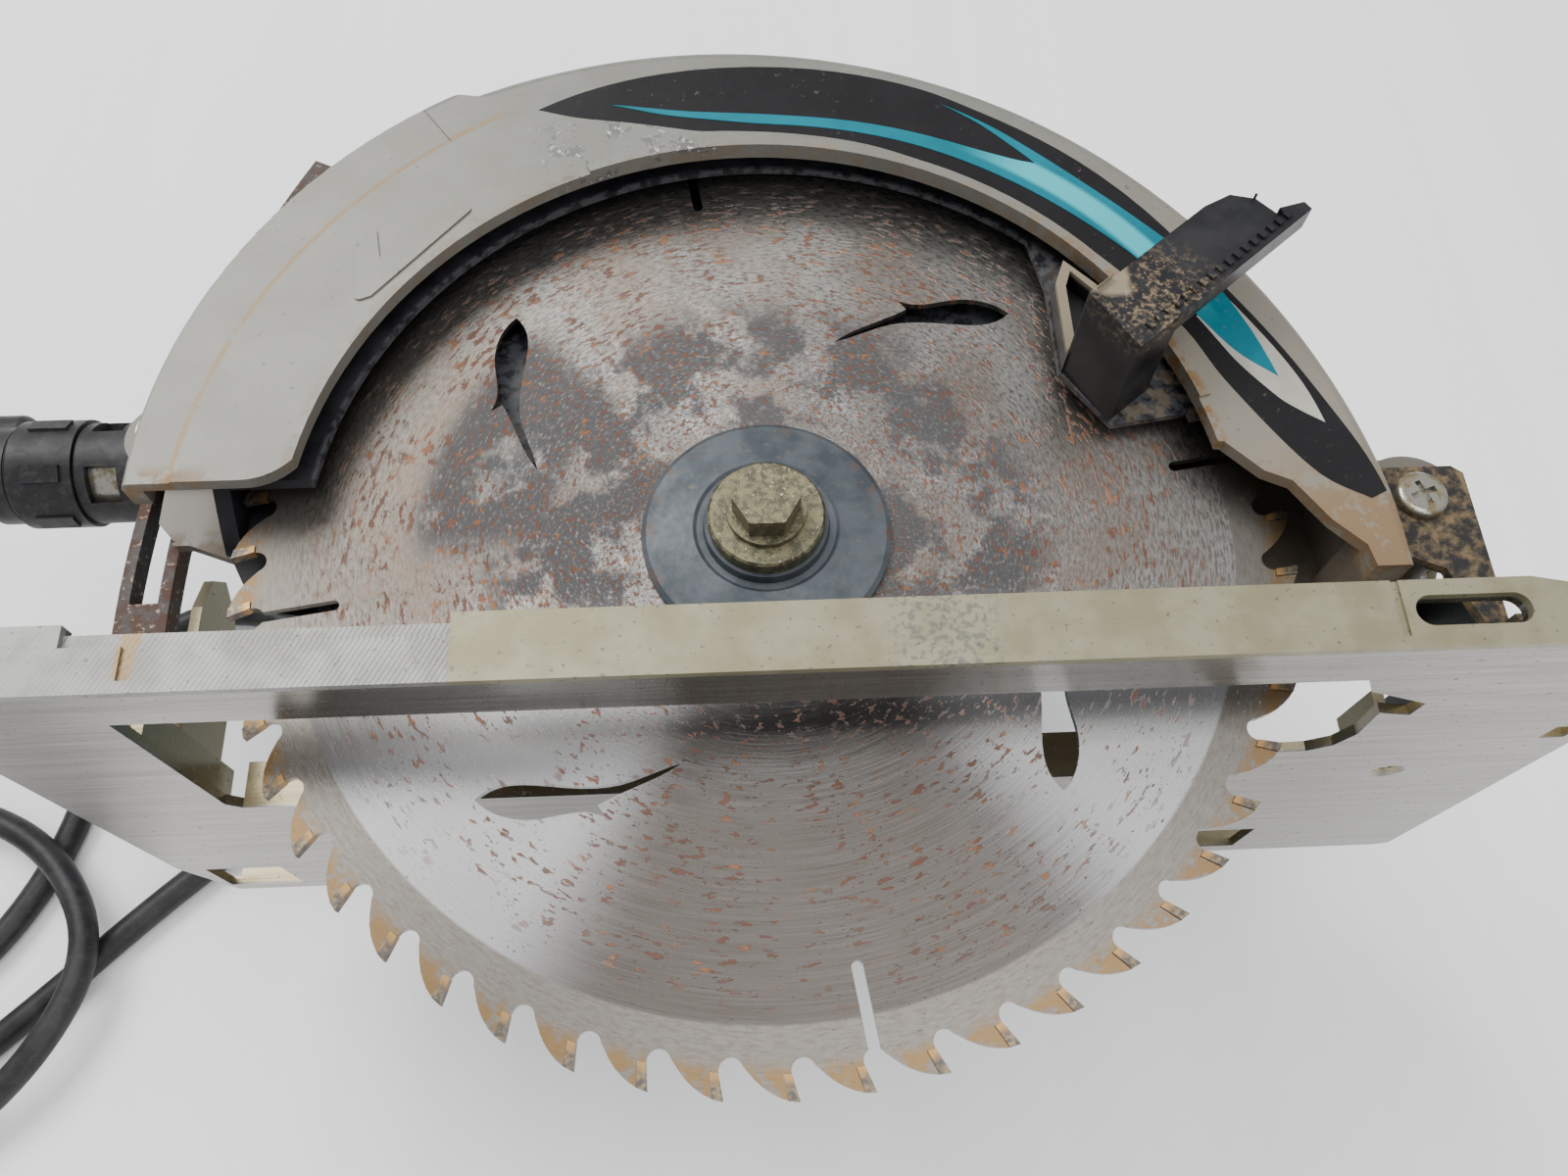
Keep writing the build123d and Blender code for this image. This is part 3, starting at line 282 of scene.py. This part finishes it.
def blade_steel():
    look = Look("blade_steel", 0.9, 0.34)
    radius, angle = look.polar()
    turned = look.math("WRAP", angle, 360.0)
    upper = look.step(look.y, -30, -12)
    cloud = look.noise(0.045, 4.0)
    lines = look.ground(3.2, 0.05, 4.0, 0.6)
    fine = look.ground(1.6, 0.5, 4.0, 0.7)

    # the lower half: ground steel with two painted highlight lobes standing in for its brushed reflection,
    # and a darker brown painted shade between them
    bright = look.mix(look.step(lines, 0.3, 0.7), (0.062, 0.058, 0.054), (0.118, 0.114, 0.110))
    painted_highlight_lobes = look.either(look.band(turned, 218, 236, 16), look.band(turned, 318, 334, 18))
    bright = look.over(bright, painted_highlight_lobes, (0.34, 0.34, 0.34), 0.75)
    painted_shade_between_lobes = look.both(look.band(turned, 250, 292, 16), look.step(radius, 40, 70))
    bright = look.over(bright, painted_shade_between_lobes, (0.062, 0.050, 0.041), 0.55)

    # the upper half: duller, with pale scuffs, brown at the left and lighter at the top right
    dull = look.mix(look.step(fine, 0.35, 0.62), (0.105, 0.097, 0.088), (0.235, 0.228, 0.215))
    tone = look.mix(upper, bright, dull)
    pale = look.both(upper, look.patches(0.09, 0.50, 0.60, 5.0, 0.7), look.step(radius, 78, 60))
    tone = look.over(tone, look.both(pale, look.step(fine, 0.42, 0.55)), (0.36, 0.36, 0.355))
    left = look.both(upper, look.band(turned, 150, 196, 22), look.step(radius, 50, 75))
    tone = look.over(tone, left, (0.088, 0.072, 0.055), 0.55)
    top_right = look.both(upper, look.band(turned, 30, 85, 15), look.step(radius, 55, 75))
    tone = look.over(tone, look.both(top_right, look.step(fine, 0.35, 0.55)), (0.36, 0.355, 0.33), 0.5)
    brown_film = look.both(upper, look.step(cloud, 0.38, 0.6), look.step(radius, 108, 80))
    tone = look.over(tone, brown_film, (0.150, 0.112, 0.086), 0.5)

    # soot round the flange and by the left vent
    flange_soot = look.both(upper, look.band(radius, 31, 56, 12), look.patches(0.055, 0.44, 0.53, 5.0, 0.6))
    vent_soot = look.both(look.band(turned, 138, 176, 10), look.band(radius, 52, 74, 8))
    vent_soot = look.both(vent_soot, look.step(cloud, 0.36, 0.46))
    soot = look.both(look.either(flange_soot, vent_soot), look.step(fine, 0.74, 0.52))
    tone = look.over(tone, soot, (0.045, 0.045, 0.047), 0.9)

    # rust in short dashes along the grinding lines, thicker on the upper half, and dark pits
    dashes = look.ground(0.85, 0.28, 3.0, 0.62)
    spread = look.noise(0.07, 2.0)
    few = look.both(look.step(dashes, 0.575, 0.63), look.step(spread, 0.36, 0.52), look.step(radius, 106, 92))
    many = look.both(upper, look.step(dashes, 0.535, 0.60), look.step(spread, 0.38, 0.52))
    rust = look.either(few, look.both(many, look.step(radius, 104, 88)))
    tone = look.over(tone, rust, look.mix(look.patches(0.16, 0.50, 0.68), RUST, ORANGE_RUST), 0.85)
    pits = look.both(look.step(look.ground(1.5, 0.75, 2.0), 0.66, 0.70), look.step(spread, 0.35, 0.55))
    tone = look.over(tone, pits, (0.05, 0.035, 0.03), 0.8)

    # the outer ring, and gold-brown braze by the tips
    ring_tone = look.mix(look.step(fine, 0.35, 0.70), (0.150, 0.141, 0.127), (0.112, 0.098, 0.080))
    tone = look.over(tone, look.step(radius, TOOTH_RING - 0.4, TOOTH_RING + 0.4), ring_tone, 0.95)
    braze = look.both(look.step(radius, 109.5, 113.5), look.patches(0.35, 0.36, 0.52))
    look.colour(look.over(tone, braze, (0.165, 0.100, 0.040), 0.85))

    dirt = look.either(rust, soot, pits)
    look.metal(dirt, 0.92, 0.25)
    look.rough(look.either(dirt, look.math("MULTIPLY", upper, 0.45)), 0.27, 0.62)
    look.bump(lines, 0.03)
    look.bump(rust, 0.04)
    tangent = look.tree.nodes.new("ShaderNodeTangent")
    tangent.direction_type = "RADIAL"
    tangent.axis = "Z"
    look.put(look.shader.inputs["Tangent"], tangent.outputs[0])
    look.shader.inputs["Anisotropic"].default_value = 0.65
    return look.material


def guard_casting():
    look = Look("guard_casting", 0.35, 0.46)
    radius, angle = look.polar()
    rim = look.polar(RIM_CENTRE)[0]
    tone = look.mix(look.patches(0.06, 0.3, 0.7, 4.0), (0.165, 0.163, 0.140), (0.190, 0.188, 0.166))
    sparkle = look.patches(2.6, 0.60, 0.74, 2.0)
    tone = look.over(tone, sparkle, (0.30, 0.30, 0.285), 0.5)
    front = look.step(angle, 62, 20)
    tone = look.over(tone, front, (0.24, 0.205, 0.15), 0.6)

    # tan lines along the step of the casting and round the arrow
    grime = look.noise(0.22, 5.0, 0.65)
    ridge = look.both(look.band(radius, 126.7, 127.8, 0.5), look.step(angle, 116, 122))
    tone = look.over(tone, look.both(ridge, look.step(grime, 0.34, 0.46)), (0.21, 0.140, 0.065), 0.8)
    arrow = look.both(look.band(look.z, 16.1, 16.35, 0.08), look.step(look.x, -60, -64))
    tone = look.over(tone, arrow, (0.21, 0.15, 0.08), 0.85)

    # brown stains on the opening's edge, the nose and the rear foot
    edge = look.both(look.step(rim, 104.2, 101.6), look.step(grime, 0.46, 0.56))
    nose = look.both(look.step(look.y, 14, -8), look.step(angle, 60, 30), look.step(grime, 0.38, 0.52))
    foot = look.both(look.step(look.y, 14.5, 9.5), look.step(look.x, -112, -128))
    foot = look.both(foot, look.step(grime, 0.40, 0.54))
    stains = look.either(look.both(edge, look.math("ADD", front, 0.35)), nose, foot)
    tone = look.over(tone, stains, (0.20, 0.115, 0.045), 0.75)

    # scuffs at the top with bright chips and dark specks, and painted shade darkening the inner walls below
    # the face
    scuffed = look.both(look.band(angle, 96, 114, 6), look.step(radius, 122, 114))
    scuffed = look.both(scuffed, look.patches(0.16, 0.52, 0.60, 5.0, 0.7))
    specks = look.both(look.patches(0.45, 0.70, 0.73, 2.0), look.step(look.z, 14, 15.5))
    tone = look.over(tone, look.either(scuffed, specks), (0.10, 0.10, 0.105), 0.75)
    tone = look.over(tone, look.both(scuffed, look.patches(0.7, 0.56, 0.62)), (0.48, 0.48, 0.47))
    # painted shade: the walls lower than the face are darker
    look.colour(look.over(tone, look.step(look.z, 11, 7), (0.10, 0.09, 0.075), 0.75))
    look.rough(look.either(stains, sparkle), 0.46, 0.60)
    look.bump(look.noise(2.2, 3.0), 0.018)
    look.bump(scuffed, -0.08)
    return look.material


def milling_marks(look):
    """Slanting parallel cutter marks."""
    turned = look.node("ShaderNodeMapping", Vector=look.place)
    turned.inputs["Rotation"].default_value = (0, 0, math.radians(28))
    turned.inputs["Scale"].default_value = (0.32, 0.32, 0.32)
    wave = look.node("ShaderNodeTexWave", Scale=1.0, Distortion=0.6, Detail=1.0, Vector=turned.outputs[0])
    wave.wave_type = "BANDS"
    wave.bands_direction = "X"
    return wave.outputs["Fac"]


def base_metal():
    look = Look("base_metal", 0.75, 0.34)
    flange = look.step(look.z, 26.3, 26.8)
    rear = look.step(look.x, -61.0, -62.0)

    brushed = look.noise(1.0, 4.0, 0.6, look.stretched((0.03, 1.0, 1.6)))
    sole = look.mix(look.step(brushed, 0.3, 0.7), (0.190, 0.178, 0.156), (0.31, 0.297, 0.27))
    speckle = look.patches(0.55, 0.66, 0.70)
    sole = look.over(sole, speckle, (0.16, 0.14, 0.12), 0.55)
    scratches = look.noise(1.0, 2.0, 0.5, look.stretched((0.012, 0.5, 0.9)))
    sole = look.over(sole, look.step(scratches, 0.67, 0.69), (0.15, 0.09, 0.07), 0.6)

    # the near flange: beige coating in front, bare milled metal at the rear
    blotches = look.noise(0.09, 4.0)
    beige = look.mix(look.step(blotches, 0.35, 0.65), (0.205, 0.186, 0.110), (0.262, 0.242, 0.158))
    silver = look.mix(look.step(blotches, 0.36, 0.66), (0.190, 0.188, 0.172), (0.262, 0.260, 0.240))
    face = look.mix(rear, beige, silver)
    face = look.over(face, look.both(look.patches(0.7, 0.64, 0.69), flange), (0.13, 0.12, 0.09))
    smudge = look.both(look.band(look.x, 26, 40, 6), look.patches(0.8, 0.48, 0.60, 5.0))
    face = look.over(face, smudge, (0.08, 0.085, 0.09), 0.6)
    tone = look.mix(flange, sole, face)
    stripe = look.both(flange, look.band(look.x, -123.5, -120.5, 0.8), look.step(look.y, -41.5, -40))
    tone = look.over(tone, stripe, (0.27, 0.165, 0.055), 0.7)
    inner = look.both(look.step(look.z, 24.3, 23.2), look.step(look.y, -43.2, -42.6))
    look.colour(look.over(tone, inner, (0.28, 0.235, 0.135), 0.8))

    look.metal(flange, 0.92, 0.45)
    look.rough(look.either(look.math("MULTIPLY", flange, 0.6), speckle), 0.26, 0.55)
    look.bump(look.both(milling_marks(look), rear, flange), 0.05)
    look.bump(brushed, 0.03)
    return look.material


def flange_steel():
    look = Look("flange_steel", 0.35, 0.5)
    tone = look.mix(look.patches(0.12, 0.35, 0.65, 4.0), (0.040, 0.050, 0.060), (0.075, 0.087, 0.098))
    tone = look.over(tone, look.patches(0.6, 0.60, 0.68, 4.0, 0.7), (0.15, 0.12, 0.07), 0.5)
    rim = look.both(look.step(look.polar()[0], 22, 27.5), look.patches(0.3, 0.5, 0.62, 4.0))
    look.colour(look.over(tone, rim, (0.10, 0.06, 0.035), 0.6))
    look.rough(look.noise(0.5, 3.0), 0.35, 0.7)
    look.bump(look.noise(1.5, 3.0), 0.03)
    return look.material


def bolt_steel():
    look = Look("bolt_steel", 0.7, 0.42)
    dusty = look.patches(0.5, 0.42, 0.62, 5.0, 0.7)
    tone = look.mix(dusty, (0.085, 0.080, 0.050), (0.20, 0.180, 0.105))
    look.colour(look.over(tone, look.patches(1.4, 0.64, 0.70), (0.42, 0.40, 0.32)))
    look.rough(dusty, 0.32, 0.6)
    look.bump(look.noise(2.2, 4.0), 0.06)
    return look.material


def carbide():
    look = Look("carbide", 0.8, 0.3)
    tone = look.mix(look.patches(0.8, 0.4, 0.65), (0.07, 0.065, 0.06), (0.20, 0.15, 0.09))
    look.colour(look.over(tone, look.step(look.polar()[0], 115.4, 112.8), (0.30, 0.18, 0.07)))
    look.rough(look.noise(1.2, 2.0), 0.2, 0.5)
    look.bump(look.noise(3.0, 3.0), 0.02)
    return look.material


def plain_black(name):
    """Moulded black plastic, rubber or paint, still without its colour."""
    look = Look(name, 0.0, 0.4)
    look.rough(look.noise(0.25, 4.0), 0.30, 0.62)
    look.bump(look.noise(2.4, 3.0), 0.03)
    look.shader.inputs["Specular IOR Level"].default_value = 0.28
    return look


def dusty_black(name, dust):
    """Plain black with dust lying in its grain."""
    look = plain_black(name)
    tone = look.mix(look.patches(0.1, 0.35, 0.65, 4.0), (0.010, 0.010, 0.011), (0.022, 0.022, 0.023))
    tone = look.over(tone, look.patches(0.35, 0.50, 0.66, 6.0, 0.72), (0.11, 0.088, 0.062), dust)
    look.colour(look.over(tone, look.patches(1.8, 0.72, 0.76, 2.0), (0.22, 0.19, 0.15), 0.5))
    return look


def lever_black():
    """Black plastic with sawdust in the corner of the tongue and along the block's open rim."""
    look = plain_black("lever_black")
    tone = look.mix(look.patches(0.1, 0.35, 0.65, 4.0), (0.008, 0.008, 0.009), (0.017, 0.017, 0.018))
    corner = look.step(look.polar((84.0, 35.0))[0], 20, 4)
    hollow = look.both(corner, look.step(look.z, 28, 33), look.patches(0.8, 0.48, 0.64, 5.0, 0.7))
    tone = look.over(tone, hollow, (0.26, 0.19, 0.11), 0.75)
    wing = look.both(look.step(look.x, 80, 78), look.step(look.y, 36, 38), look.step(look.z, 13.0, 14.6))
    look.colour(look.over(tone, wing, (0.30, 0.25, 0.17), 0.7))
    look.rough(look.noise(0.2, 3.0), 0.30, 0.50)
    return look.material


def bracket_black():
    look = plain_black("bracket_black")
    dusty = look.both(look.patches(0.3, 0.42, 0.66, 6.0, 0.7), look.step(look.z, 3, 6))
    look.colour(look.over((0.016, 0.015, 0.014), dusty, (0.21, 0.145, 0.07), 0.7))
    look.rough(dusty, 0.38, 0.75)
    look.bump(look.noise(1.0, 4.0), 0.10)
    return look.material


def lower_guard_black():
    look = plain_black("lower_guard_black")
    tone = look.mix(look.patches(0.12, 0.35, 0.65, 4.0), (0.007, 0.007, 0.009), (0.018, 0.018, 0.021))
    worn = look.both(look.step(look.polar()[0], 101.4, 100.2), look.patches(0.4, 0.40, 0.55))
    tone = look.over(tone, worn, (0.075, 0.078, 0.085), 0.6)
    front = look.both(look.step(look.x, 60, 90), look.patches(0.3, 0.46, 0.6, 5.0))
    look.colour(look.over(tone, front, (0.20, 0.155, 0.10), 0.5))
    return look.material


def rusty_steel():
    look = Look("rusty_steel", 0.3, 0.62)
    rust = look.patches(0.18, 0.42, 0.60, 6.0, 0.7)
    tone = look.mix(rust, (0.022, 0.015, 0.013), (0.085, 0.045, 0.030))
    look.colour(look.over(tone, look.patches(0.7, 0.60, 0.66), (0.24, 0.17, 0.12)))
    look.rough(rust, 0.45, 0.8)
    look.bump(look.noise(1.1, 5.0), 0.15)
    return look.material


def plated_steel():
    look = Look("plated_steel", 0.85, 0.36)
    tarnish = look.patches(0.35, 0.42, 0.62, 5.0)
    tone = look.mix(tarnish, (0.34, 0.33, 0.29), (0.19, 0.155, 0.09))
    look.colour(look.over(tone, look.patches(0.9, 0.62, 0.68), DUST))
    look.rough(tarnish, 0.26, 0.55)
    look.bump(look.noise(1.6, 3.0), 0.04)
    return look.material


def housing_plastic():
    look = Look("housing_plastic", 0.0, 0.45)
    tone = look.mix(look.patches(0.05, 0.35, 0.65, 4.0), (0.004, 0.115, 0.135), (0.008, 0.160, 0.185))
    look.colour(look.over(tone, look.patches(0.3, 0.54, 0.68, 6.0, 0.7), (0.22, 0.20, 0.16), 0.35))
    look.rough(look.noise(0.2, 4.0), 0.34, 0.62)
    look.bump(look.noise(2.0, 2.0), 0.06)
    return look.material


def turned_metal(name, tone, worn, metallic=1.0, roughness=0.28):
    """Plain metal with fine marks and a patchy tarnish."""
    look = Look(name, metallic, roughness)
    tarnish = look.patches(0.2, 0.40, 0.64, 5.0)
    look.colour(look.mix(tarnish, tone, worn))
    look.rough(tarnish, roughness * 0.75, min(0.9, roughness * 1.7))
    look.bump(look.noise(1.0, 3.0, 0.5, look.stretched((1.0, 1.0, 6.0))), 0.02)
    return look.material


def cord_rubber(name):
    look = dusty_black(name, 0.12)
    look.rough(look.noise(0.3, 4.0), 0.34, 0.55)
    look.bump(look.noise(0.9, 3.0), 0.05)
    return look.material


def ink(name, tone, painted_highlight=None):
    """A printed colour of the guard's decal, scuffed, with a painted highlight as a paler band along its
    middle when a highlight tone is given.
    """
    look = Look(name, 0.0, 0.36)
    shade = look.mix(look.patches(0.08, 0.3, 0.7), tuple(0.8 * c for c in tone), tone)
    # painted highlight: a paler band along the middle of the print
    if painted_highlight:
        radius, angle = look.polar()
        pale = look.both(look.band(radius, 109.6, 113.4, 1.6), look.band(angle, 33, 52, 12))
        shade = look.over(shade, pale, painted_highlight)
    scuff = look.both(look.patches(0.5, 0.60, 0.70, 5.0, 0.7), look.patches(0.07, 0.45, 0.6, 2.0))
    look.colour(look.over(shade, scuff, (0.20, 0.18, 0.15), 0.35))
    look.rough(look.noise(0.4, 4.0), 0.26, 0.5)
    look.bump(look.noise(2.2, 3.0), 0.02)
    look.shader.inputs["Specular IOR Level"].default_value = 0.15
    return look.material


def slot_materials():
    steel, tarnish = (0.42, 0.42, 0.42), (0.26, 0.25, 0.235)
    return {
        "guard_casting": guard_casting(),
        "housing_casting": turned_metal("housing_casting", (0.3, 0.3, 0.285), (0.2, 0.195, 0.18), 0.6, 0.5),
        "base_metal": base_metal(),
        "blade_steel": blade_steel(),
        "carbide": carbide(),
        "flange_steel": flange_steel(),
        "bolt_steel": bolt_steel(),
        "machined_steel": turned_metal("machined_steel", steel, tarnish),
        "bearing_steel": turned_metal("bearing_steel", (0.60, 0.60, 0.60), steel, 1.0, 0.16),
        "laminated_steel": turned_metal("laminated_steel", (0.25, 0.25, 0.26), (0.16, 0.14, 0.13), 0.9, 0.42),
        "copper_winding": turned_metal("copper_winding", (0.48, 0.19, 0.08), (0.30, 0.12, 0.06), 0.9, 0.34),
        "commutator_copper": turned_metal("commutator_copper", (0.56, 0.27, 0.14), (0.22, 0.13, 0.09)),
        "brush_carbon": dusty_black("brush_carbon", 0.1).material,
        "brass_fitting": turned_metal("brass_fitting", (0.54, 0.40, 0.16), (0.36, 0.27, 0.13)),
        "lower_guard_black": lower_guard_black(),
        "lever_black": lever_black(),
        "bracket_black": bracket_black(),
        "rusty_steel": rusty_steel(),
        "plated_steel": plated_steel(),
        "housing_plastic": housing_plastic(),
        "black_plastic": dusty_black("black_plastic", 0.22).material,
        "grip_rubber": dusty_black("grip_rubber", 0.4).material,
        "cord_rubber": cord_rubber("cord_rubber"),
        "plug_black": dusty_black("plug_black", 0.15).material,
    }


def dress_frame():
    """Gives every CAD node the look of its slot."""
    looks = slot_materials()
    for part in frame["record"]["subparts"]:
        obj = nodes[part["node"]]
        obj.data.materials.clear()
        obj.data.materials.append(looks[part["material_slot"]])


# ---- the guard's decal -------------------------------------------------------------------------
# Edges of the printed shapes as (radius, angle) about the blade's axis; each list is one smooth run.
BLACK = [
    [(124.4, 115), (125.5, 109), (126, 100), (125.6, 83), (124.5, 70), (122.7, 62), (121.4, 49), (119.8, 34)],
    [(119.8, 34), (120.3, 26), (122.6, 18), (126, 10), (130.4, 3), (132.6, -1)],
    [(132.6, -1), (129, -1.8)],
    [(129, -1.8), (119.5, 1), (112, 7), (106.7, 15), (105.3, 23), (102.8, 33), (101.8, 41), (101.8, 49)],
    [(101.8, 49), (102, 65), (103, 74), (103.6, 84), (104.6, 93), (106.6, 99), (116.4, 110), (124.4, 115)],
]
TEAL = [
    [(118.9, 107), (112.1, 98), (109.4, 87), (109.6, 74), (110.6, 62), (112.4, 56), (114.4, 53)],
    [(114.4, 53), (116.6, 57.5), (119.1, 62), (121.3, 67)],
    [(121.3, 67), (119.4, 60), (117.6, 54), (116.5, 47)]
    + [(116.7, 40), (117.9, 33), (118.9, 25), (118.6, 13.4)],
    [(118.6, 13.4), (112.6, 18), (109.6, 25), (108.4, 34)]
    + [(106.9, 44), (106.2, 56), (106.2, 68), (106.1, 80)],
    [(106.1, 80), (106.5, 89), (109, 96), (112.6, 101.5), (118.9, 107)],
]
GREY = [
    [(118.7, 25), (120.2, 20), (123.1, 12), (124.1, 7)],
    [(124.1, 7), (119.5, 9), (115.7, 11.5), (111.3, 17), (109.5, 24)],
    [(109.5, 24), (118.7, 25)],
]


def smooth_run(points):
    """Points along a smooth curve through the given ones, without the last."""
    padded = [points[0]] + points + [points[-1]]
    curve = []
    for a, b, c, d in zip(padded, padded[1:], padded[2:], padded[3:]):
        for t in (0, 0.2, 0.4, 0.6, 0.8):
            curve.append(tuple(bend(*four, t) for four in zip(a, b, c, d)))
    return curve


def bend(p, q, r, s, t):
    """A value between q and r, smooth with the ones before and after."""
    return q + 0.5 * t * (r - p + t * (2 * p - 5 * q + 4 * r - s + t * (3 * (q - r) + s - p)))


def between(a, b, share):
    return tuple(p + (q - p) * share for p, q in zip(a, b))


def sticker(name, runs, height, material):
    """A thin flat film on the guard's face, inside a closed chain of smooth runs."""
    ring = [polar(*point) for run in runs for point in smooth_run(run)]
    low, high = GUARD_FACE, GUARD_FACE + height
    verts = [at(x, y, z) for z in (low, high) for x, y in ring]
    count = len(ring)
    sides = [(k, (k + 1) % count, count + (k + 1) % count, count + k) for k in range(count)]
    mesh = bpy.data.meshes.new(name)
    mesh.from_pydata(verts, [], sides + [tuple(range(count)), tuple(range(count, 2 * count))])
    film = bpy.data.objects.new(name, mesh)
    bpy.context.scene.collection.objects.link(film)
    bpy.context.view_layer.objects.active = film
    film.select_set(True)
    bpy.ops.object.mode_set(mode="EDIT")
    bpy.ops.mesh.select_all(action="SELECT")
    bpy.ops.mesh.normals_make_consistent(inside=False)
    bpy.ops.object.mode_set(mode="OBJECT")
    film.select_set(False)
    mesh.materials.append(material)
    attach(film, "saw_frame")


def make_decal():
    sticker("decal_black", BLACK, 0.10, ink("decal_black", (0.012, 0.011, 0.012)))
    sticker("decal_grey", GREY, 0.16, ink("decal_grey", (0.40, 0.385, 0.33)))
    # the teal's last tone is the painted highlight along its middle
    sticker("decal_teal", TEAL, 0.22, ink("decal_teal", (0.003, 0.155, 0.205), (0.050, 0.40, 0.45)))


# ---- cord --------------------------------------------------------------------------------------
CORD_ROUTE = [
    (-292, CORD_Y, HANDLE_Z),
    (-328, CORD_Y, HANDLE_Z),
    (-360, 60, -95),
    (-382, 39, -119),
    (-391, 11, -146),
    (-386, -20, -168),
    (-366, -50, -179),
    (-334, -70, ON_FLOOR),
    (-297, -75, ON_FLOOR),
    (-264, -60, ON_FLOOR),
    (-243, -28, ON_FLOOR),
    (-234, 8, ON_FLOOR),
    (-237, 44, ON_FLOOR),
    (-212, 69, ON_FLOOR),
    (-178, 69, ON_FLOOR),
    (-153, 44, ON_FLOOR),
    (-153, 9, ON_FLOOR),
    (-178, -15, ON_FLOOR),
    (-207, -39, ON_FLOOR),
    (-237, -68, ON_FLOOR),
    (-268, -95, ON_FLOOR),
    (-304, -106, ON_FLOOR + 3),
    (-338, -91, OVER),
    (-352, -55, OVER),
    (-337, -20, ON_FLOOR + 5),
    (-301, -2, ON_FLOOR + 5),
    (-264, -6, OVER),
    (-236, -23, OVER),
    (-219, -53, OVER),
    (-231, -86, OVER),
    (-260, -112, ON_FLOOR + 4),
    (-282, -141, ON_FLOOR),
]
COIL_CENTRE = (-346.0, -180.0)
COIL_ROWS = [(59, ON_FLOOR), (50, ON_FLOOR), (41, ON_FLOOR), (45.5, ON_FLOOR + 7.8), (54.5, ON_FLOOR + 7.8)]
CORD_TAIL = [
    (-350, -241, OVER - 1),
    (-381, -241, ON_FLOOR + 4),
    (-407, -219, ON_FLOOR),
    (-418, -190, ON_FLOOR),
    (-420, -160, ON_FLOOR),
]


def coil_turns():
    """Three turns that wind in on the floor, then one and a bit going out again in the grooves on top."""
    per_turn = 16
    points = []
    for step in range(4 * per_turn + 4):
        turn, part = divmod(step, per_turn)
        ahead = COIL_ROWS[min(turn + 1, len(COIL_ROWS) - 1)]
        radius, height = between(COIL_ROWS[turn], ahead, max(0, part - 12) / 4)
        x, y = polar(radius, -360 * part / per_turn)
        points.append((COIL_CENTRE[0] + x, COIL_CENTRE[1] + y, height))
    return points


def make_cord():
    curve = bpy.data.curves.new("power_cord_line", "CURVE")
    curve.dimensions = "3D"
    route = CORD_ROUTE + coil_turns() + CORD_TAIL
    spline = curve.splines.new("NURBS")
    spline.points.add(len(route) - 1)
    for point, place in zip(spline.points, route):
        point.co = (*at(*place), 1)
    spline.order_u = 3
    spline.use_endpoint_u = True
    curve.bevel_depth = CORD_RADIUS * MM
    curve.bevel_resolution = 6
    curve.resolution_u = 8
    curve.use_fill_caps = True
    cord = bpy.data.objects.new("mains_cord", curve)
    bpy.context.scene.collection.objects.link(cord)
    curve.materials.append(cord_rubber("cord_skin"))
    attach(cord, "saw_frame")
    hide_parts("power_cord", "cord_coil", "cord_tail")
    return cord


make_camera()
make_studio()
cord = make_cord()
dress_frame()
make_decal()
